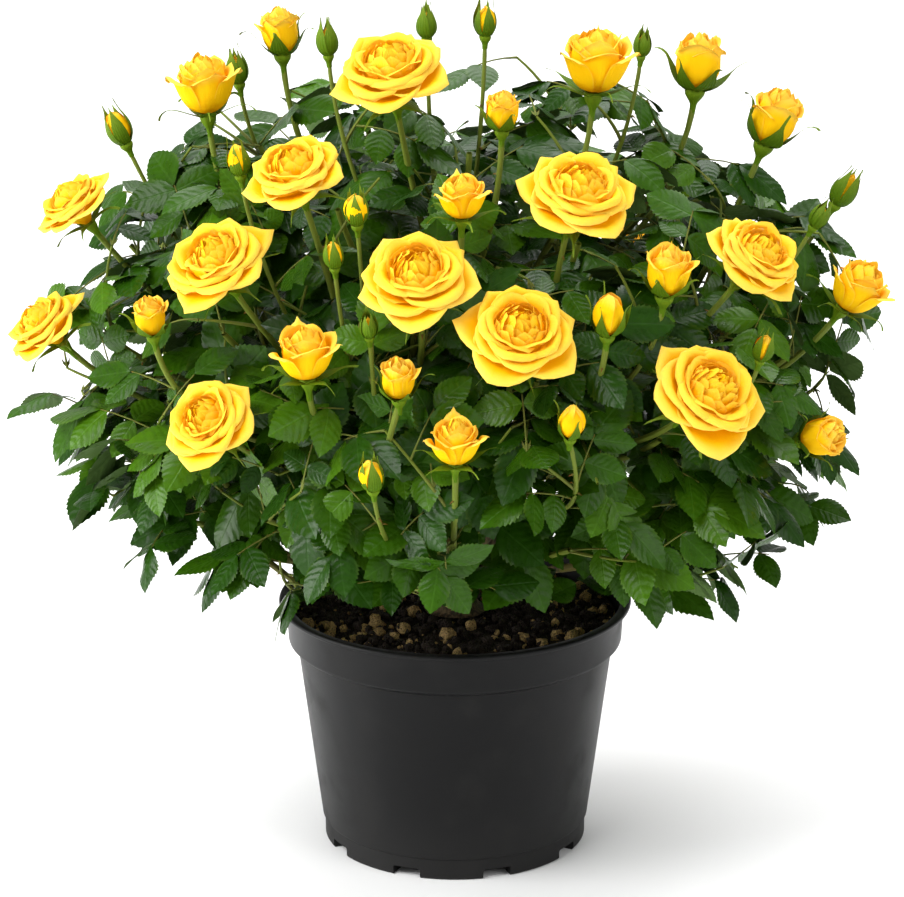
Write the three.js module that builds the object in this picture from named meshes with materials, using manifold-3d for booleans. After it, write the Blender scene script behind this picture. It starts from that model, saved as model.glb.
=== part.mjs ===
// A yellow miniature rose bush in a black plastic nursery pot.
// Millimetres, +Z up, the origin at the middle of the pot's flat underside; its front faces -Y.
import * as THREE from "three";
import { mergeVertices } from "three/addons/utils/BufferGeometryUtils.js";
import Module from "manifold-3d";

const wasm = await Module();
wasm.setup();

// ---------------------------------------------------------------- driving dimensions

// Pot, all radii to the outside.
const POT_HEIGHT = 150;
const LIP_RADIUS = 105;
const LIP_HEIGHT = 3.2;
const LIP_EDGE = 0.8;
const BAND_TOP_RADIUS = 101;
const BAND_BOTTOM_RADIUS = 99.5;
const BAND_HEIGHT = 21;
const BAND_LEDGE = 4;
const WALL_TOP_RADIUS = 94;
const WALL_BOTTOM_RADIUS = 80;
const FOOT_RADIUS = 78.5;
const FOOT_HEIGHT = 13;
const FOOT_LEDGE = 1;
const FOOT_ROUNDING = 2;
const WALL_THICKNESS = 2.2;
const FLOOR_THICKNESS = 9;
const POT_SEGMENTS = 32;
const NOTCH_COUNT = 9;
const NOTCH_WIDTH = 17;
const NOTCH_HEIGHT = 6;
const NOTCH_DEPTH = 12;
const NOTCH_BEARING = -111.5;

// Potting soil that fills the pot.
const SOIL_MIDDLE_HEIGHT = 141;
const SOIL_EDGE_HEIGHT = 138;
const SOIL_FLAT_RADIUS = 26;
const SOIL_BULGE = 2;

// The gap that is kept between pieces that meet.
const CLEARANCE = 0.3;

// Heights that the pot and the soil share.
const BAND_TOP = POT_HEIGHT - LIP_HEIGHT;
const BAND_BOTTOM = BAND_TOP - BAND_HEIGHT;
const WALL_TOP = BAND_BOTTOM - BAND_LEDGE;

// Crown stem: the short woody stem at soil level, with a round head that the canes leave from.
const HEAD_RADIUS = 17;
const HEAD_HEIGHT = 160;
const FLARE_RADIUS = 19;
const FLARE_HEIGHT = 5;
const NECK_RADIUS = 13.5;
const HEAD_STEP = 18;
const HEAD_SEGMENTS = 14;

// Canes, the main boughs, in three tiers that share the head evenly.
// count, tilt from upright, bearing of the first, length from the head's middle.
const TIERS = {
  top: { count: 3, tilt: 16, bearing: -90, length: 120 },
  middle: { count: 6, tilt: 43, bearing: -60, length: 100 },
  low: { count: 7, tilt: 73, bearing: -90, length: 82 },
};
const CANE_START_RADIUS = 3.4;
const CANE_END_RADIUS = 2.4;
const CANE_SIDES = 6;
const CANE_STEPS = 3;
const CANE_SWAY = 4;

// Each mass's own stem and shoots.
const STEM_LENGTH = 70;
const STEM_START_RADIUS = 2.6;
const STEM_END_RADIUS = 2.2;
const STEM_SIDES = 3;
const SHOOT_START_RADIUS = 2.0;
const SHOOT_END_RADIUS = 1.5;
const SHOOT_SIDES = 3;
const SHOOT_STEPS = 2;
const FORKS = { first: 0.04, last: 1 };
const FLOWERING_LEAVES = { from: 0.3, to: 0.72 };
const LEAFY_LEAVES = { from: 0.4, to: 0.98 };
const SHOOT_SUNK = 2;
const SHOOT_ARRIVAL = 0.4;
const CHECKS_ON_SHOOT = 16;
// How far growth keeps from the sides of its mass's space, and leaves from their cane.
const CELL_MARGIN = 1.2;
const CANE_MARGIN = 1;
// Canes that are tried for a bloom once the nearest can't reach it.
const OTHER_CANES = 3;
// Sideways and upward bends that a shoot tries in turn, in shares of its length.
const DETOURS = [
  [0, 0],
  [0.12, 0],
  [-0.12, 0],
  [0, -0.12],
  [0, 0.12],
  [0.25, 0],
  [-0.25, 0],
  [0.25, -0.2],
  [-0.25, -0.2],
  [0, -0.3],
  [0.4, 0],
  [-0.4, 0],
];

// The crown: half widths along X and Y, and heights above and below its middle.
const CROWN_MIDDLE = 300;
const BLOOM_REACH = { x: 255, y: 220, up: 210, down: 190 };
const LEAF_REACH = { x: 260, y: 228, up: 190, down: 190 };
const LOWEST_LEAF = 154;
const LOWEST_SHOOT = 176;

// Leaves, each the outline of one compound leaf.
const LEAF_LENGTH = 68;
const LEAF_WIDTH_RATIO = 0.58;
const LEAF_WIDEST_AT = 0.4;
const LEAF_THICKNESS = 2.4;
const LEAF_SUNK = 0.6;
const LEAF_BLADE_FROM = 6;
const LEAF_SPACING = 27;
const CHECKS_ON_LEAF = 6;
const LEAF_TRIES = [1, 0.7].flatMap((share) => [0, 50, -50, 100, -100, 150].map((turn) => [turn, share]));
const LEAF_LEAN = { forward: 0.55, outward: 0.25, droop: 0.3 };
const LEAF_FACING = { outward: 0.8, up: 0.5 };
const LEAF_SIZES = { least: 0.85, most: 1.15 };
const GOLDEN_ANGLE = 137.5;

// Shoots that bear no flower are spread evenly over the crown.
const LEAFY_SHOOTS = 56;
const LEAFY_REACH = 0.8;
const LEAFY_POLAR = { first: 10, last: 146 };

// Flowering shoots at the front: stage, bearing and polar angle on the crown, width of the bloom, and,
// where they aren't the usual ones, its lean from upright and its share of the way to the outline.
const FRONT_BLOOMS = [
  ["open", -156, 79, 50, { lean: 42 }],
  ["open", -163, 61, 49, { lean: 36 }],
  ["bud", -173, 49, 16, { lean: 24 }],
  ["half", -160, 36, 42],
  ["bud", -172, 31, 14, { share: 0.95 }],
  ["barrel", -175, 23, 27],
  ["bud", -138, 22, 13],
  ["open", -107, 28, 66, { lean: 24 }],
  ["bud", -105, 14, 13],
  ["bud", -73, 13, 14],
  ["barrel", -80, 35, 22],
  ["half", -46, 26, 46],
  ["bud", -20, 26, 11],
  ["barrel", -5, 33, 32],
  ["barrel", -7, 46, 33, { lean: 20 }],
  ["bud", -6, 61, 16, { lean: 30 }],
  ["bud", -25, 61, 12, { lean: 28 }],
  ["half", -22, 73, 38, { lean: 34 }],
  ["open", -45, 64, 58],
  ["open", -71, 51, 66],
  ["half", -89, 50, 31],
  ["open", -117, 48, 56],
  ["bud", -129, 47, 14],
  ["open", -124, 63, 60],
  ["barrel", -133, 72, 22],
  ["open", -95, 63, 64],
  ["open", -82, 71, 64],
  ["barrel", -60, 63, 29],
  ["barrel", -70, 69, 21],
  ["open", -58, 82, 68],
  ["barrel", -37, 93, 26, { lean: 72 }],
  ["open", -121, 86, 55],
  ["half", -109, 74, 38],
  ["barrel", -97, 77, 23],
  ["half", -90, 86, 33],
  ["barrel", -76, 84, 17],
  ["bud", -100, 92, 15],
];
// Flowering shoots at the back, in turn along an arc.
const BACK_BLOOMS = 10;
const BACK_BEARING = { first: 44, last: 136 };
const BACK_POLAR = [98, 74, 86];
const BACK_STAGES = [
  ["open", 60],
  ["bud", 15],
  ["half", 40],
  ["open", 64],
  ["barrel", 26],
];
// A bloom keeps other growth this far outside its ball.
const BALL_MARGIN = 2;

// Profiles of the four stages as radius and height, in half widths of the bloom, from the stem up.
// size is the radius of the ball that the bloom keeps to itself, in the same unit, and lean is the
// share of its shoot's tilt that it leans.
const STAGES = {
  open: {
    sides: 8,
    scallop: 0.07,
    size: 1.1,
    lean: 0.9,
    profile: [
      [0, -0.7],
      [0.42, -0.4],
      [1.0, -0.05],
      [0.68, 0.26],
      [0.36, 0.4],
      [0, 0.3],
    ],
  },
  half: {
    sides: 6,
    scallop: 0.05,
    size: 1.2,
    lean: 0.25,
    profile: [
      [0, -1.2],
      [0.75, -0.5],
      [1.0, 0.2],
      [0.8, 0.7],
      [0, 0.62],
    ],
  },
  barrel: {
    sides: 6,
    scallop: 0,
    size: 1.35,
    lean: 0.25,
    profile: [
      [0, -1.6],
      [0.92, -0.5],
      [0.96, 0.4],
      [0, 1.15],
    ],
  },
  bud: {
    sides: 4,
    scallop: 0,
    size: 1.6,
    lean: 0.35,
    profile: [
      [0, -1.8],
      [1.0, -0.4],
      [0.6, 0.8],
      [0, 1.7],
    ],
  },
};

// Booleans leave no detail smaller than this, and corners closer than the weld are one.
const FINEST = 0.1;
const WELD = 1e-4;

// ---------------------------------------------------------------- looks

const finish = (color, roughness) => new THREE.MeshStandardMaterial({ color, roughness, metalness: 0 });
const potPlastic = finish(0x2b2c2e, 0.55);
const pottingSoil = finish(0x2c1f16, 0.95);
const bark = finish(0x54492f, 0.85);
const greenBark = finish(0x656b2e, 0.6);
const rosePlant = finish(0x2f6a2c, 0.5);

// ---------------------------------------------------------------- helpers

const UP = new THREE.Vector3(0, 0, 1);
const radians = THREE.MathUtils.degToRad;
const HEAD = new THREE.Vector3(0, 0, HEAD_HEIGHT);

// A unit vector from its bearing round +Z and its tilt from upright, in degrees.
function direction(bearing, tilt) {
  const out = Math.sin(radians(tilt));
  return new THREE.Vector3(
    out * Math.cos(radians(bearing)),
    out * Math.sin(radians(bearing)),
    Math.cos(radians(tilt)),
  );
}

// A repeatable stream of numbers from 0 to 1.
function seeded(seed) {
  let state = seed;
  return () => {
    state = (Math.imul(state, 1664525) + 1013904223) >>> 0;
    return state / 2 ** 32;
  };
}

// A closed three.js geometry as a solid that can be joined and cut.
function toSolid(geometry) {
  const bare = geometry.clone();
  bare.deleteAttribute("normal");
  bare.deleteAttribute("uv");
  const merged = mergeVertices(bare, WELD);
  return new wasm.Manifold(
    new wasm.Mesh({
      numProp: 3,
      vertProperties: merged.attributes.position.array,
      triVerts: new Uint32Array(merged.index.array),
    }),
  );
}

// The largest body of a solid as a geometry; loose scraps and sealed hollows are left out.
function toGeometry(solid) {
  const bodies = solid.simplify(FINEST).decompose().sort((a, b) => b.volume() - a.volume());
  const mesh = bodies[0].getMesh();
  const geometry = new THREE.BufferGeometry();
  geometry.setAttribute("position", new THREE.BufferAttribute(mesh.vertProperties, 3));
  geometry.setIndex(new THREE.BufferAttribute(mesh.triVerts, 1));
  return geometry;
}

// A solid of revolution about Z from pairs of radius and height.
function turned(profile, segments) {
  const points = profile.map(([radius, height]) => new THREE.Vector2(radius, height));
  return new THREE.LatheGeometry(points, segments).rotateX(Math.PI / 2);
}

// A tapering limb: a closed cylinder whose rings are laid along a curve.
function limb(curve, startRadius, endRadius, sides, steps) {
  const geometry = new THREE.CylinderGeometry(1, 1, 1, sides, steps);
  const place = geometry.attributes.position;
  for (let i = 0; i < place.count; i++) {
    const t = place.getY(i) + 0.5;
    const radius = THREE.MathUtils.lerp(startRadius, endRadius, t);
    const tangent = curve.getTangent(t);
    const side = new THREE.Vector3().crossVectors(tangent, UP).normalize();
    const over = new THREE.Vector3().crossVectors(side, tangent);
    const point = curve.getPoint(t);
    point.addScaledVector(side, place.getX(i) * radius);
    point.addScaledVector(over, place.getZ(i) * radius);
    place.setXYZ(i, point.x, point.y, point.z);
  }
  return geometry;
}

// ---------------------------------------------------------------- pot and soil

// The inside of the pot from its floor up, as radius and height, drawn in by an inset.
function potInside(inset) {
  return [
    [WALL_BOTTOM_RADIUS - WALL_THICKNESS - inset, FLOOR_THICKNESS],
    [WALL_TOP_RADIUS - WALL_THICKNESS - inset, WALL_TOP],
    [BAND_BOTTOM_RADIUS - WALL_THICKNESS - inset, BAND_BOTTOM + WALL_THICKNESS],
  ];
}

function makePot() {
  const wall = turned(
    [
      [0, 0],
      [FOOT_RADIUS - FOOT_ROUNDING, 0],
      [FOOT_RADIUS, FOOT_ROUNDING],
      [FOOT_RADIUS, FOOT_HEIGHT],
      [WALL_BOTTOM_RADIUS, FOOT_HEIGHT + FOOT_LEDGE],
      [WALL_TOP_RADIUS, WALL_TOP],
      [BAND_BOTTOM_RADIUS, BAND_BOTTOM],
      [BAND_TOP_RADIUS, BAND_TOP],
      [LIP_RADIUS, BAND_TOP + LIP_EDGE / 2],
      [LIP_RADIUS, POT_HEIGHT - LIP_EDGE],
      [LIP_RADIUS - LIP_EDGE, POT_HEIGHT],
      [BAND_TOP_RADIUS - WALL_THICKNESS, POT_HEIGHT - LIP_EDGE],
      ...potInside(0).reverse(),
      [0, FLOOR_THICKNESS],
    ],
    POT_SEGMENTS,
  );
  let pot = toSolid(wall);
  for (let i = 0; i < NOTCH_COUNT; i++) {
    const notch = new THREE.BoxGeometry(2 * NOTCH_DEPTH, NOTCH_WIDTH, 2 * NOTCH_HEIGHT);
    notch.translate(FOOT_RADIUS, 0, 0);
    notch.rotateZ(radians(NOTCH_BEARING + (i * 360) / NOTCH_COUNT));
    pot = pot.subtract(toSolid(notch));
  }
  return toGeometry(pot);
}

function makeSoil() {
  const side = potInside(2 * CLEARANCE);
  side[0][1] += CLEARANCE;
  const edge = side[side.length - 1][0];
  return turned(
    [
      [0, FLOOR_THICKNESS + CLEARANCE],
      ...side,
      [edge, SOIL_EDGE_HEIGHT],
      [(edge + SOIL_FLAT_RADIUS) / 2, SOIL_EDGE_HEIGHT + SOIL_BULGE],
      [SOIL_FLAT_RADIUS, SOIL_MIDDLE_HEIGHT],
      [0, SOIL_MIDDLE_HEIGHT],
    ],
    POT_SEGMENTS,
  );
}

// ---------------------------------------------------------------- crown stem and canes

function makeCrownStem() {
  const foot = SOIL_MIDDLE_HEIGHT + CLEARANCE;
  const profile = [
    [0, foot],
    [FLARE_RADIUS, foot],
    [NECK_RADIUS, foot + FLARE_HEIGHT],
  ];
  for (let angle = -2 * HEAD_STEP; angle < 90; angle += HEAD_STEP) {
    const height = HEAD_HEIGHT + HEAD_RADIUS * Math.sin(radians(angle));
    profile.push([HEAD_RADIUS * Math.cos(radians(angle)), height]);
  }
  profile.push([0, HEAD_HEIGHT + HEAD_RADIUS]);
  return turned(profile, HEAD_SEGMENTS);
}

// Every cane: its name, its direction from the head, and its curve up to its tip.
function planCanes() {
  const canes = [];
  for (const [tier, { count, tilt, bearing, length }] of Object.entries(TIERS)) {
    for (let i = 0; i < count; i++) {
      const angle = bearing + (i * 360) / count;
      const heading = direction(angle, tilt);
      const across = new THREE.Vector3().crossVectors(heading, UP).normalize();
      const start = HEAD.clone().addScaledVector(heading, HEAD_RADIUS + CLEARANCE);
      const tip = HEAD.clone().addScaledVector(heading, length);
      const bend = start.clone().lerp(tip, 0.5).addScaledVector(across, i % 2 ? CANE_SWAY : -CANE_SWAY);
      canes.push({
        name: tier + "_" + (i + 1),
        heading,
        curve: new THREE.QuadraticBezierCurve3(start, bend, tip),
      });
    }
  }
  return canes;
}

// ---------------------------------------------------------------- where everything grows

// A point of the crown's outline, from its bearing and its polar angle from the top.
function onCrown(reach, bearing, polar, share) {
  const height = Math.cos(radians(polar));
  const across = Math.sin(radians(polar));
  return new THREE.Vector3(
    share * reach.x * across * Math.cos(radians(bearing)),
    share * reach.y * across * Math.sin(radians(bearing)),
    CROWN_MIDDLE + share * height * (height > 0 ? reach.up : reach.down),
  );
}

// How far out a point lies in the crown: 1 on its outline.
function shareOfCrown(reach, point) {
  const above = point.z - CROWN_MIDDLE;
  return Math.hypot(point.x / reach.x, point.y / reach.y, above / (above > 0 ? reach.up : reach.down));
}

// Every bloom: where its middle is, which way it looks and the ball that it keeps to itself.
function planBlooms() {
  const rows = [...FRONT_BLOOMS];
  for (let i = 0; i < BACK_BLOOMS; i++) {
    const [stage, width] = BACK_STAGES[i % BACK_STAGES.length];
    const along = i / (BACK_BLOOMS - 1);
    const bearing = THREE.MathUtils.lerp(BACK_BEARING.first, BACK_BEARING.last, along);
    rows.push([stage, bearing, BACK_POLAR[i % BACK_POLAR.length], width]);
  }
  return rows.map(([stage, bearing, polar, width, { lean, share = 1 } = {}]) => {
    const middle = onCrown(BLOOM_REACH, bearing, polar, share);
    const outward = middle.clone().sub(HEAD);
    const tilt = THREE.MathUtils.radToDeg(outward.angleTo(UP));
    const heading = THREE.MathUtils.radToDeg(Math.atan2(outward.y, outward.x));
    return {
      stage,
      middle,
      width,
      axis: direction(heading, lean ?? STAGES[stage].lean * tilt),
      ball: (STAGES[stage].size * width) / 2 + BALL_MARGIN,
    };
  });
}

// Ends of the shoots that bear no flower, spread over the crown at the golden angle.
function planLeafyEnds() {
  const first = Math.cos(radians(LEAFY_POLAR.first));
  const last = Math.cos(radians(LEAFY_POLAR.last));
  const ends = [];
  for (let i = 0; i < LEAFY_SHOOTS; i++) {
    const polar = Math.acos(THREE.MathUtils.lerp(first, last, (i + 0.5) / LEAFY_SHOOTS));
    const end = onCrown(LEAF_REACH, i * GOLDEN_ANGLE, THREE.MathUtils.radToDeg(polar), LEAFY_REACH);
    end.z = Math.max(end.z, LOWEST_SHOOT);
    ends.push(end);
  }
  return ends;
}

const canes = planCanes();
const blooms = planBlooms();
const leafyEnds = planLeafyEnds();

// How deep a point lies inside a cane's own space, which is a cone from the head between flat sides.
function depthInSpace(cane, point) {
  const outward = point.clone().sub(HEAD);
  let depth = Infinity;
  for (const other of canes) {
    if (other === cane) continue;
    const across = cane.heading.clone().sub(other.heading).normalize();
    depth = Math.min(depth, outward.dot(across));
  }
  return depth;
}

// Whether a point with some room round it is free for a cane's mass: in its own space, and in no ball
// of a bloom but those it may enter.
function isFree(cane, point, room, mayEnter) {
  if (mayEnter.some((bloom) => bloom.middle.distanceTo(point) < bloom.ball - BALL_MARGIN)) return true;
  if (depthInSpace(cane, point) < CELL_MARGIN + room) return false;
  return blooms.every(
    (bloom) => mayEnter.includes(bloom) || bloom.middle.distanceTo(point) > bloom.ball + room,
  );
}

// ---------------------------------------------------------------- shoots, leaves and blooms

// The straight stem of a mass, from 0.3 mm past its cane's tip.
function stemOf(cane) {
  const heading = cane.curve.getTangent(1);
  const foot = cane.curve.v2.clone().addScaledVector(heading, CLEARANCE);
  const head = cane.curve.v2.clone().addScaledVector(heading, STEM_LENGTH);
  return new THREE.LineCurve3(foot, head);
}

// A shoot's curve: it leaves the mass's stem and arrives along the given direction, or, where a bloom
// or another mass is in the way, from beside it.
function shootCurve(cane, start, end, arrival, mayEnter) {
  const span = start.distanceTo(end);
  const straight = end.clone().sub(start).normalize();
  const across = new THREE.Vector3().crossVectors(straight, UP).normalize();
  const over = new THREE.Vector3().crossVectors(across, straight);
  for (const [sideways, upwards] of DETOURS) {
    const bend = end.clone().addScaledVector(arrival, -SHOOT_ARRIVAL * span);
    bend.addScaledVector(across, sideways * span).addScaledVector(over, upwards * span);
    const curve = new THREE.QuadraticBezierCurve3(start, bend, end);
    const free = curve.getPoints(CHECKS_ON_SHOOT).every((p) => isFree(cane, p, SHOOT_START_RADIUS, mayEnter));
    if (free) return curve;
  }
  return null;
}

// Every end that a shoot grows to: the foot of each bloom, and the ends of the leafy shoots.
function planEnds() {
  const flowering = blooms.map((bloom) => {
    const bottom = (STAGES[bloom.stage].profile[0][1] * bloom.width) / 2 + SHOOT_SUNK;
    const end = bloom.middle.clone().addScaledVector(bloom.axis, bottom);
    return { aim: bloom.middle, end, arrival: bloom.axis, mayEnter: [bloom], leavesAt: FLOWERING_LEAVES };
  });
  const leafy = leafyEnds.map((end) => {
    return { aim: end, end, arrival: awayFromHead(end), mayEnter: [], leavesAt: LEAFY_LEAVES };
  });
  return [...flowering, ...leafy];
}

// Every shoot: an end with its cane and its curve. Each cane takes the ends that are nearest to its
// heading; the widest leave its mass's stem first. A bloom that a cane can't reach goes to another.
function planShoots() {
  const shoots = [];
  const reach = (end, cane, fork) => {
    const curve = shootCurve(cane, stemOf(cane).getPoint(fork), end.end, end.arrival, end.mayEnter);
    if (curve) shoots.push({ ...end, cane, curve });
    return curve !== null;
  };
  const byHeading = (end) => [...canes].sort((a, b) => nearness(b, end) - nearness(a, end));
  const ends = planEnds();
  for (const cane of canes) {
    const own = ends.filter((end) => byHeading(end)[0] === cane);
    own.sort((a, b) => spreadFrom(cane, b) - spreadFrom(cane, a));
    own.forEach((end, i) => {
      const fork = THREE.MathUtils.lerp(FORKS.first, FORKS.last, (i + 0.5) / own.length);
      if (reach(end, cane, fork) || end.mayEnter.length === 0) return;
      const others = byHeading(end).slice(1, 1 + OTHER_CANES);
      others.some((other) => reach(end, other, FORKS.first));
    });
  }
  return shoots;
}
const awayFromHead = (point) => point.clone().sub(HEAD).normalize();
const nearness = (cane, end) => awayFromHead(end.aim).dot(cane.heading);
const spreadFrom = (cane, end) => end.aim.clone().sub(cane.curve.v2).angleTo(cane.heading);

// One leaf as a solid of six faces, flat below and ridged above, that starts some way along the leaf.
function leafGeometry(leaf, rootAt) {
  const geometry = new THREE.SphereGeometry(1, 3, 2).deleteAttribute("normal").deleteAttribute("uv");
  const place = geometry.attributes.position;
  for (let i = 0; i < place.count; i++) {
    const pole = Math.round(place.getY(i));
    const side = -Math.sign(Math.round(place.getZ(i)));
    const rise = Math.round(place.getX(i)) < 0 ? 1 : 0;
    const along = [rootAt, LEAF_WIDEST_AT * leaf.length, leaf.length][pole + 1];
    const point = leaf.root.clone().addScaledVector(leaf.along, along);
    point.addScaledVector(leaf.across, (side * LEAF_WIDTH_RATIO * leaf.length) / 2);
    point.addScaledVector(leaf.face, rise * LEAF_THICKNESS);
    place.setXYZ(i, point.x, point.y, point.z);
  }
  return geometry;
}

// Whether a leaf stays in its mass's space and the crown, and clear of blooms, its cane and the pot.
function leafFits(cane, leaf, mayEnter) {
  for (let i = 1; i <= CHECKS_ON_LEAF; i++) {
    const share = i / CHECKS_ON_LEAF;
    const point = leaf.root.clone().addScaledVector(leaf.along, share * leaf.length);
    const narrowing = share < LEAF_WIDEST_AT ? share / LEAF_WIDEST_AT : (1 - share) / (1 - LEAF_WIDEST_AT);
    const halfWidth = (narrowing * LEAF_WIDTH_RATIO * leaf.length) / 2;
    for (const side of [-halfWidth, 0, halfWidth]) {
      const edge = point.clone().addScaledVector(leaf.across, side);
      if (!isFree(cane, edge, LEAF_THICKNESS / 2, mayEnter)) return false;
      if (edge.z < LOWEST_LEAF) return false;
      if (shareOfCrown(LEAF_REACH, edge) > 1) return false;
    }
    const tip = cane.curve.v2;
    const beyond = point.clone().sub(tip).dot(cane.heading);
    const aside = point.clone().sub(HEAD).cross(cane.heading).length();
    if (beyond < CANE_MARGIN && aside < halfWidth + CANE_START_RADIUS + CANE_MARGIN) return false;
  }
  return true;
}

// A leaf at a share of a shoot's length, turned about it by an angle; it faces up and out of the crown.
function growLeaf(curve, t, angle, size) {
  const ring = Math.min(SHOOT_STEPS - 1, Math.floor(t * SHOOT_STEPS));
  const lower = curve.getPoint(ring / SHOOT_STEPS);
  const upper = curve.getPoint((ring + 1) / SHOOT_STEPS);
  const point = lower.clone().lerp(upper, t * SHOOT_STEPS - ring);
  const tangent = upper.clone().sub(lower).normalize();
  const side = new THREE.Vector3().crossVectors(tangent, UP).normalize();
  const outward = awayFromHead(point);
  const along = side.applyAxisAngle(tangent, radians(angle));
  along.addScaledVector(tangent, LEAF_LEAN.forward).addScaledVector(outward, LEAF_LEAN.outward);
  along.addScaledVector(UP, -LEAF_LEAN.droop).normalize();
  const facing = outward.multiplyScalar(LEAF_FACING.outward).addScaledVector(UP, LEAF_FACING.up);
  const across = new THREE.Vector3().crossVectors(facing, along).normalize();
  return {
    root: point.clone().addScaledVector(along, -LEAF_SUNK),
    along,
    across,
    face: new THREE.Vector3().crossVectors(along, across),
    length: size,
  };
}

// The mass with the leaves of one shoot joined on; a leaf that would cross what is there is turned
// about the shoot, or skipped.
function joinLeaves(mass, { cane, curve, mayEnter, leavesAt: { from, to } }, random) {
  const count = Math.max(1, Math.round(((to - from) * curve.getLength()) / LEAF_SPACING));
  const first = 360 * random();
  for (let i = 0; i <= count; i++) {
    const t = to - ((to - from) * i) / count;
    const size = LEAF_LENGTH * THREE.MathUtils.lerp(LEAF_SIZES.least, LEAF_SIZES.most, random());
    for (const [turn, share] of LEAF_TRIES) {
      const angle = first + GOLDEN_ANGLE * i + turn;
      const leaf = growLeaf(curve, t, angle, share * size);
      if (!leafFits(cane, leaf, mayEnter)) continue;
      const blade = toSolid(leafGeometry(leaf, LEAF_BLADE_FROM));
      if (!blade.intersect(mass).isEmpty()) continue;
      mass = mass.add(toSolid(leafGeometry(leaf, 0)));
      break;
    }
  }
  return mass;
}

// A bloom as a turned solid with a scalloped rim, set on its axis.
function bloomGeometry(bloom) {
  const { sides, scallop, profile } = STAGES[bloom.stage];
  const half = bloom.width / 2;
  const geometry = turned(
    profile.map(([radius, height]) => [radius * half, height * half]),
    sides,
  );
  geometry.deleteAttribute("normal").deleteAttribute("uv");
  const place = geometry.attributes.position;
  for (let i = 0; i < place.count; i++) {
    const angle = Math.atan2(place.getY(i), place.getX(i));
    const wave = 1 + scallop * Math.cos((angle * sides) / 2);
    place.setXYZ(i, place.getX(i) * wave, place.getY(i) * wave, place.getZ(i));
  }
  const turn = new THREE.Quaternion().setFromUnitVectors(UP, bloom.axis);
  return geometry.applyQuaternion(turn).translate(bloom.middle.x, bloom.middle.y, bloom.middle.z);
}

// One mass of foliage: its stem, its shoots and blooms, and then the leaves.
function makeMass(cane, number) {
  const own = shoots.filter((shoot) => shoot.cane === cane);
  const random = seeded(number + 1);
  let mass = toSolid(limb(stemOf(cane), STEM_START_RADIUS, STEM_END_RADIUS, STEM_SIDES, 1));
  for (const { curve, mayEnter } of own) {
    const shoot = limb(curve, SHOOT_START_RADIUS, SHOOT_END_RADIUS, SHOOT_SIDES, SHOOT_STEPS);
    mass = mass.add(toSolid(shoot));
    for (const bloom of mayEnter) mass = mass.add(toSolid(bloomGeometry(bloom)));
  }
  for (const shoot of own) mass = joinLeaves(mass, shoot, random);
  return toGeometry(mass);
}

// ---------------------------------------------------------------- the rose bush

function named(name, geometry, material) {
  const mesh = new THREE.Mesh(geometry, material);
  mesh.name = name;
  return mesh;
}

const shoots = planShoots();
const bush = new THREE.Group();
bush.add(named("pot", makePot(), potPlastic));
bush.add(named("potting_soil", makeSoil(), pottingSoil));
bush.add(named("crown_stem", makeCrownStem(), bark));
canes.forEach((cane, number) => {
  const geometry = limb(cane.curve, CANE_START_RADIUS, CANE_END_RADIUS, CANE_SIDES, CANE_STEPS);
  bush.add(named("cane_" + cane.name, geometry, greenBark));
  bush.add(named("foliage_" + cane.name, makeMass(cane, number), rosePlant));
});

export default bush;
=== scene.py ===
"""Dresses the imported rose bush: pot, soil, wood, shoots, leaves and blooms, each built in code."""

import math
from collections import namedtuple

import bpy
import numpy as np
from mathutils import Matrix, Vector


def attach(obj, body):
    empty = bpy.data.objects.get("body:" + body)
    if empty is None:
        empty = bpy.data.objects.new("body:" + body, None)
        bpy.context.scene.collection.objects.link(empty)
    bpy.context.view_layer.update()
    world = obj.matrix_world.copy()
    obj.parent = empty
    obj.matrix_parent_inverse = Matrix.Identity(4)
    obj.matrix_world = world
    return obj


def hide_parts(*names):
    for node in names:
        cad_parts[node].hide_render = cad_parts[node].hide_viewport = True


bl_info = {
    "name": "Potted rose bush",
    "version": (1, 0, 0),
    "blender": (4, 5, 0),
    "location": "3D View > Sidebar > Rose Bush",
    "description": "Builds a yellow miniature rose bush in a black nursery pot",
    "category": "Object",
}

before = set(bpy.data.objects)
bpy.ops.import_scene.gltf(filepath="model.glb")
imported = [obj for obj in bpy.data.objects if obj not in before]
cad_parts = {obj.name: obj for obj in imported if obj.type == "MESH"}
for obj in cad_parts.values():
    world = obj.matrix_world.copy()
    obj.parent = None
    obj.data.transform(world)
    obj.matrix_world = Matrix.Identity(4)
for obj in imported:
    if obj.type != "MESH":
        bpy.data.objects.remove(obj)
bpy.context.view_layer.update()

# ---------------------------------------------------------------- named sizes, in millimetres and degrees

MM = 0.001
# The width, in radians, of the range that random turns are drawn from.
FULL_TURN = 6.28

POT_HEIGHT = 150
LIP_RADIUS = 105
LIP_HEIGHT = 3.2
BAND_TOP_RADIUS = 101
BAND_BOTTOM_RADIUS = 99.5
BAND_HEIGHT = 21
BAND_LEDGE = 4
WALL_TOP_RADIUS = 94
WALL_BOTTOM_RADIUS = 80
FOOT_RADIUS = 78.5
FOOT_HEIGHT = 13
FOOT_LEDGE = 1
FLOOR_THICKNESS = 9
NOTCH_COUNT = 9
NOTCH_WIDTH = 17
NOTCH_HEIGHT = 6
NOTCH_DEPTH = 12
NOTCH_BEARING = -111.5
BAND_TOP = POT_HEIGHT - LIP_HEIGHT
BAND_BOTTOM = BAND_TOP - BAND_HEIGHT
WALL_TOP = BAND_BOTTOM - BAND_LEDGE

SOIL_MIDDLE_HEIGHT = 141
SOIL_EDGE_HEIGHT = 138
CLEARANCE = 0.3

HEAD_RADIUS = 17
HEAD_HEIGHT = 160
NECK_RADIUS = 13.5
FLARE_RADIUS = 19
HEAD = np.array((0.0, 0.0, HEAD_HEIGHT))
UP = np.array((0.0, 0.0, 1.0))

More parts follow.
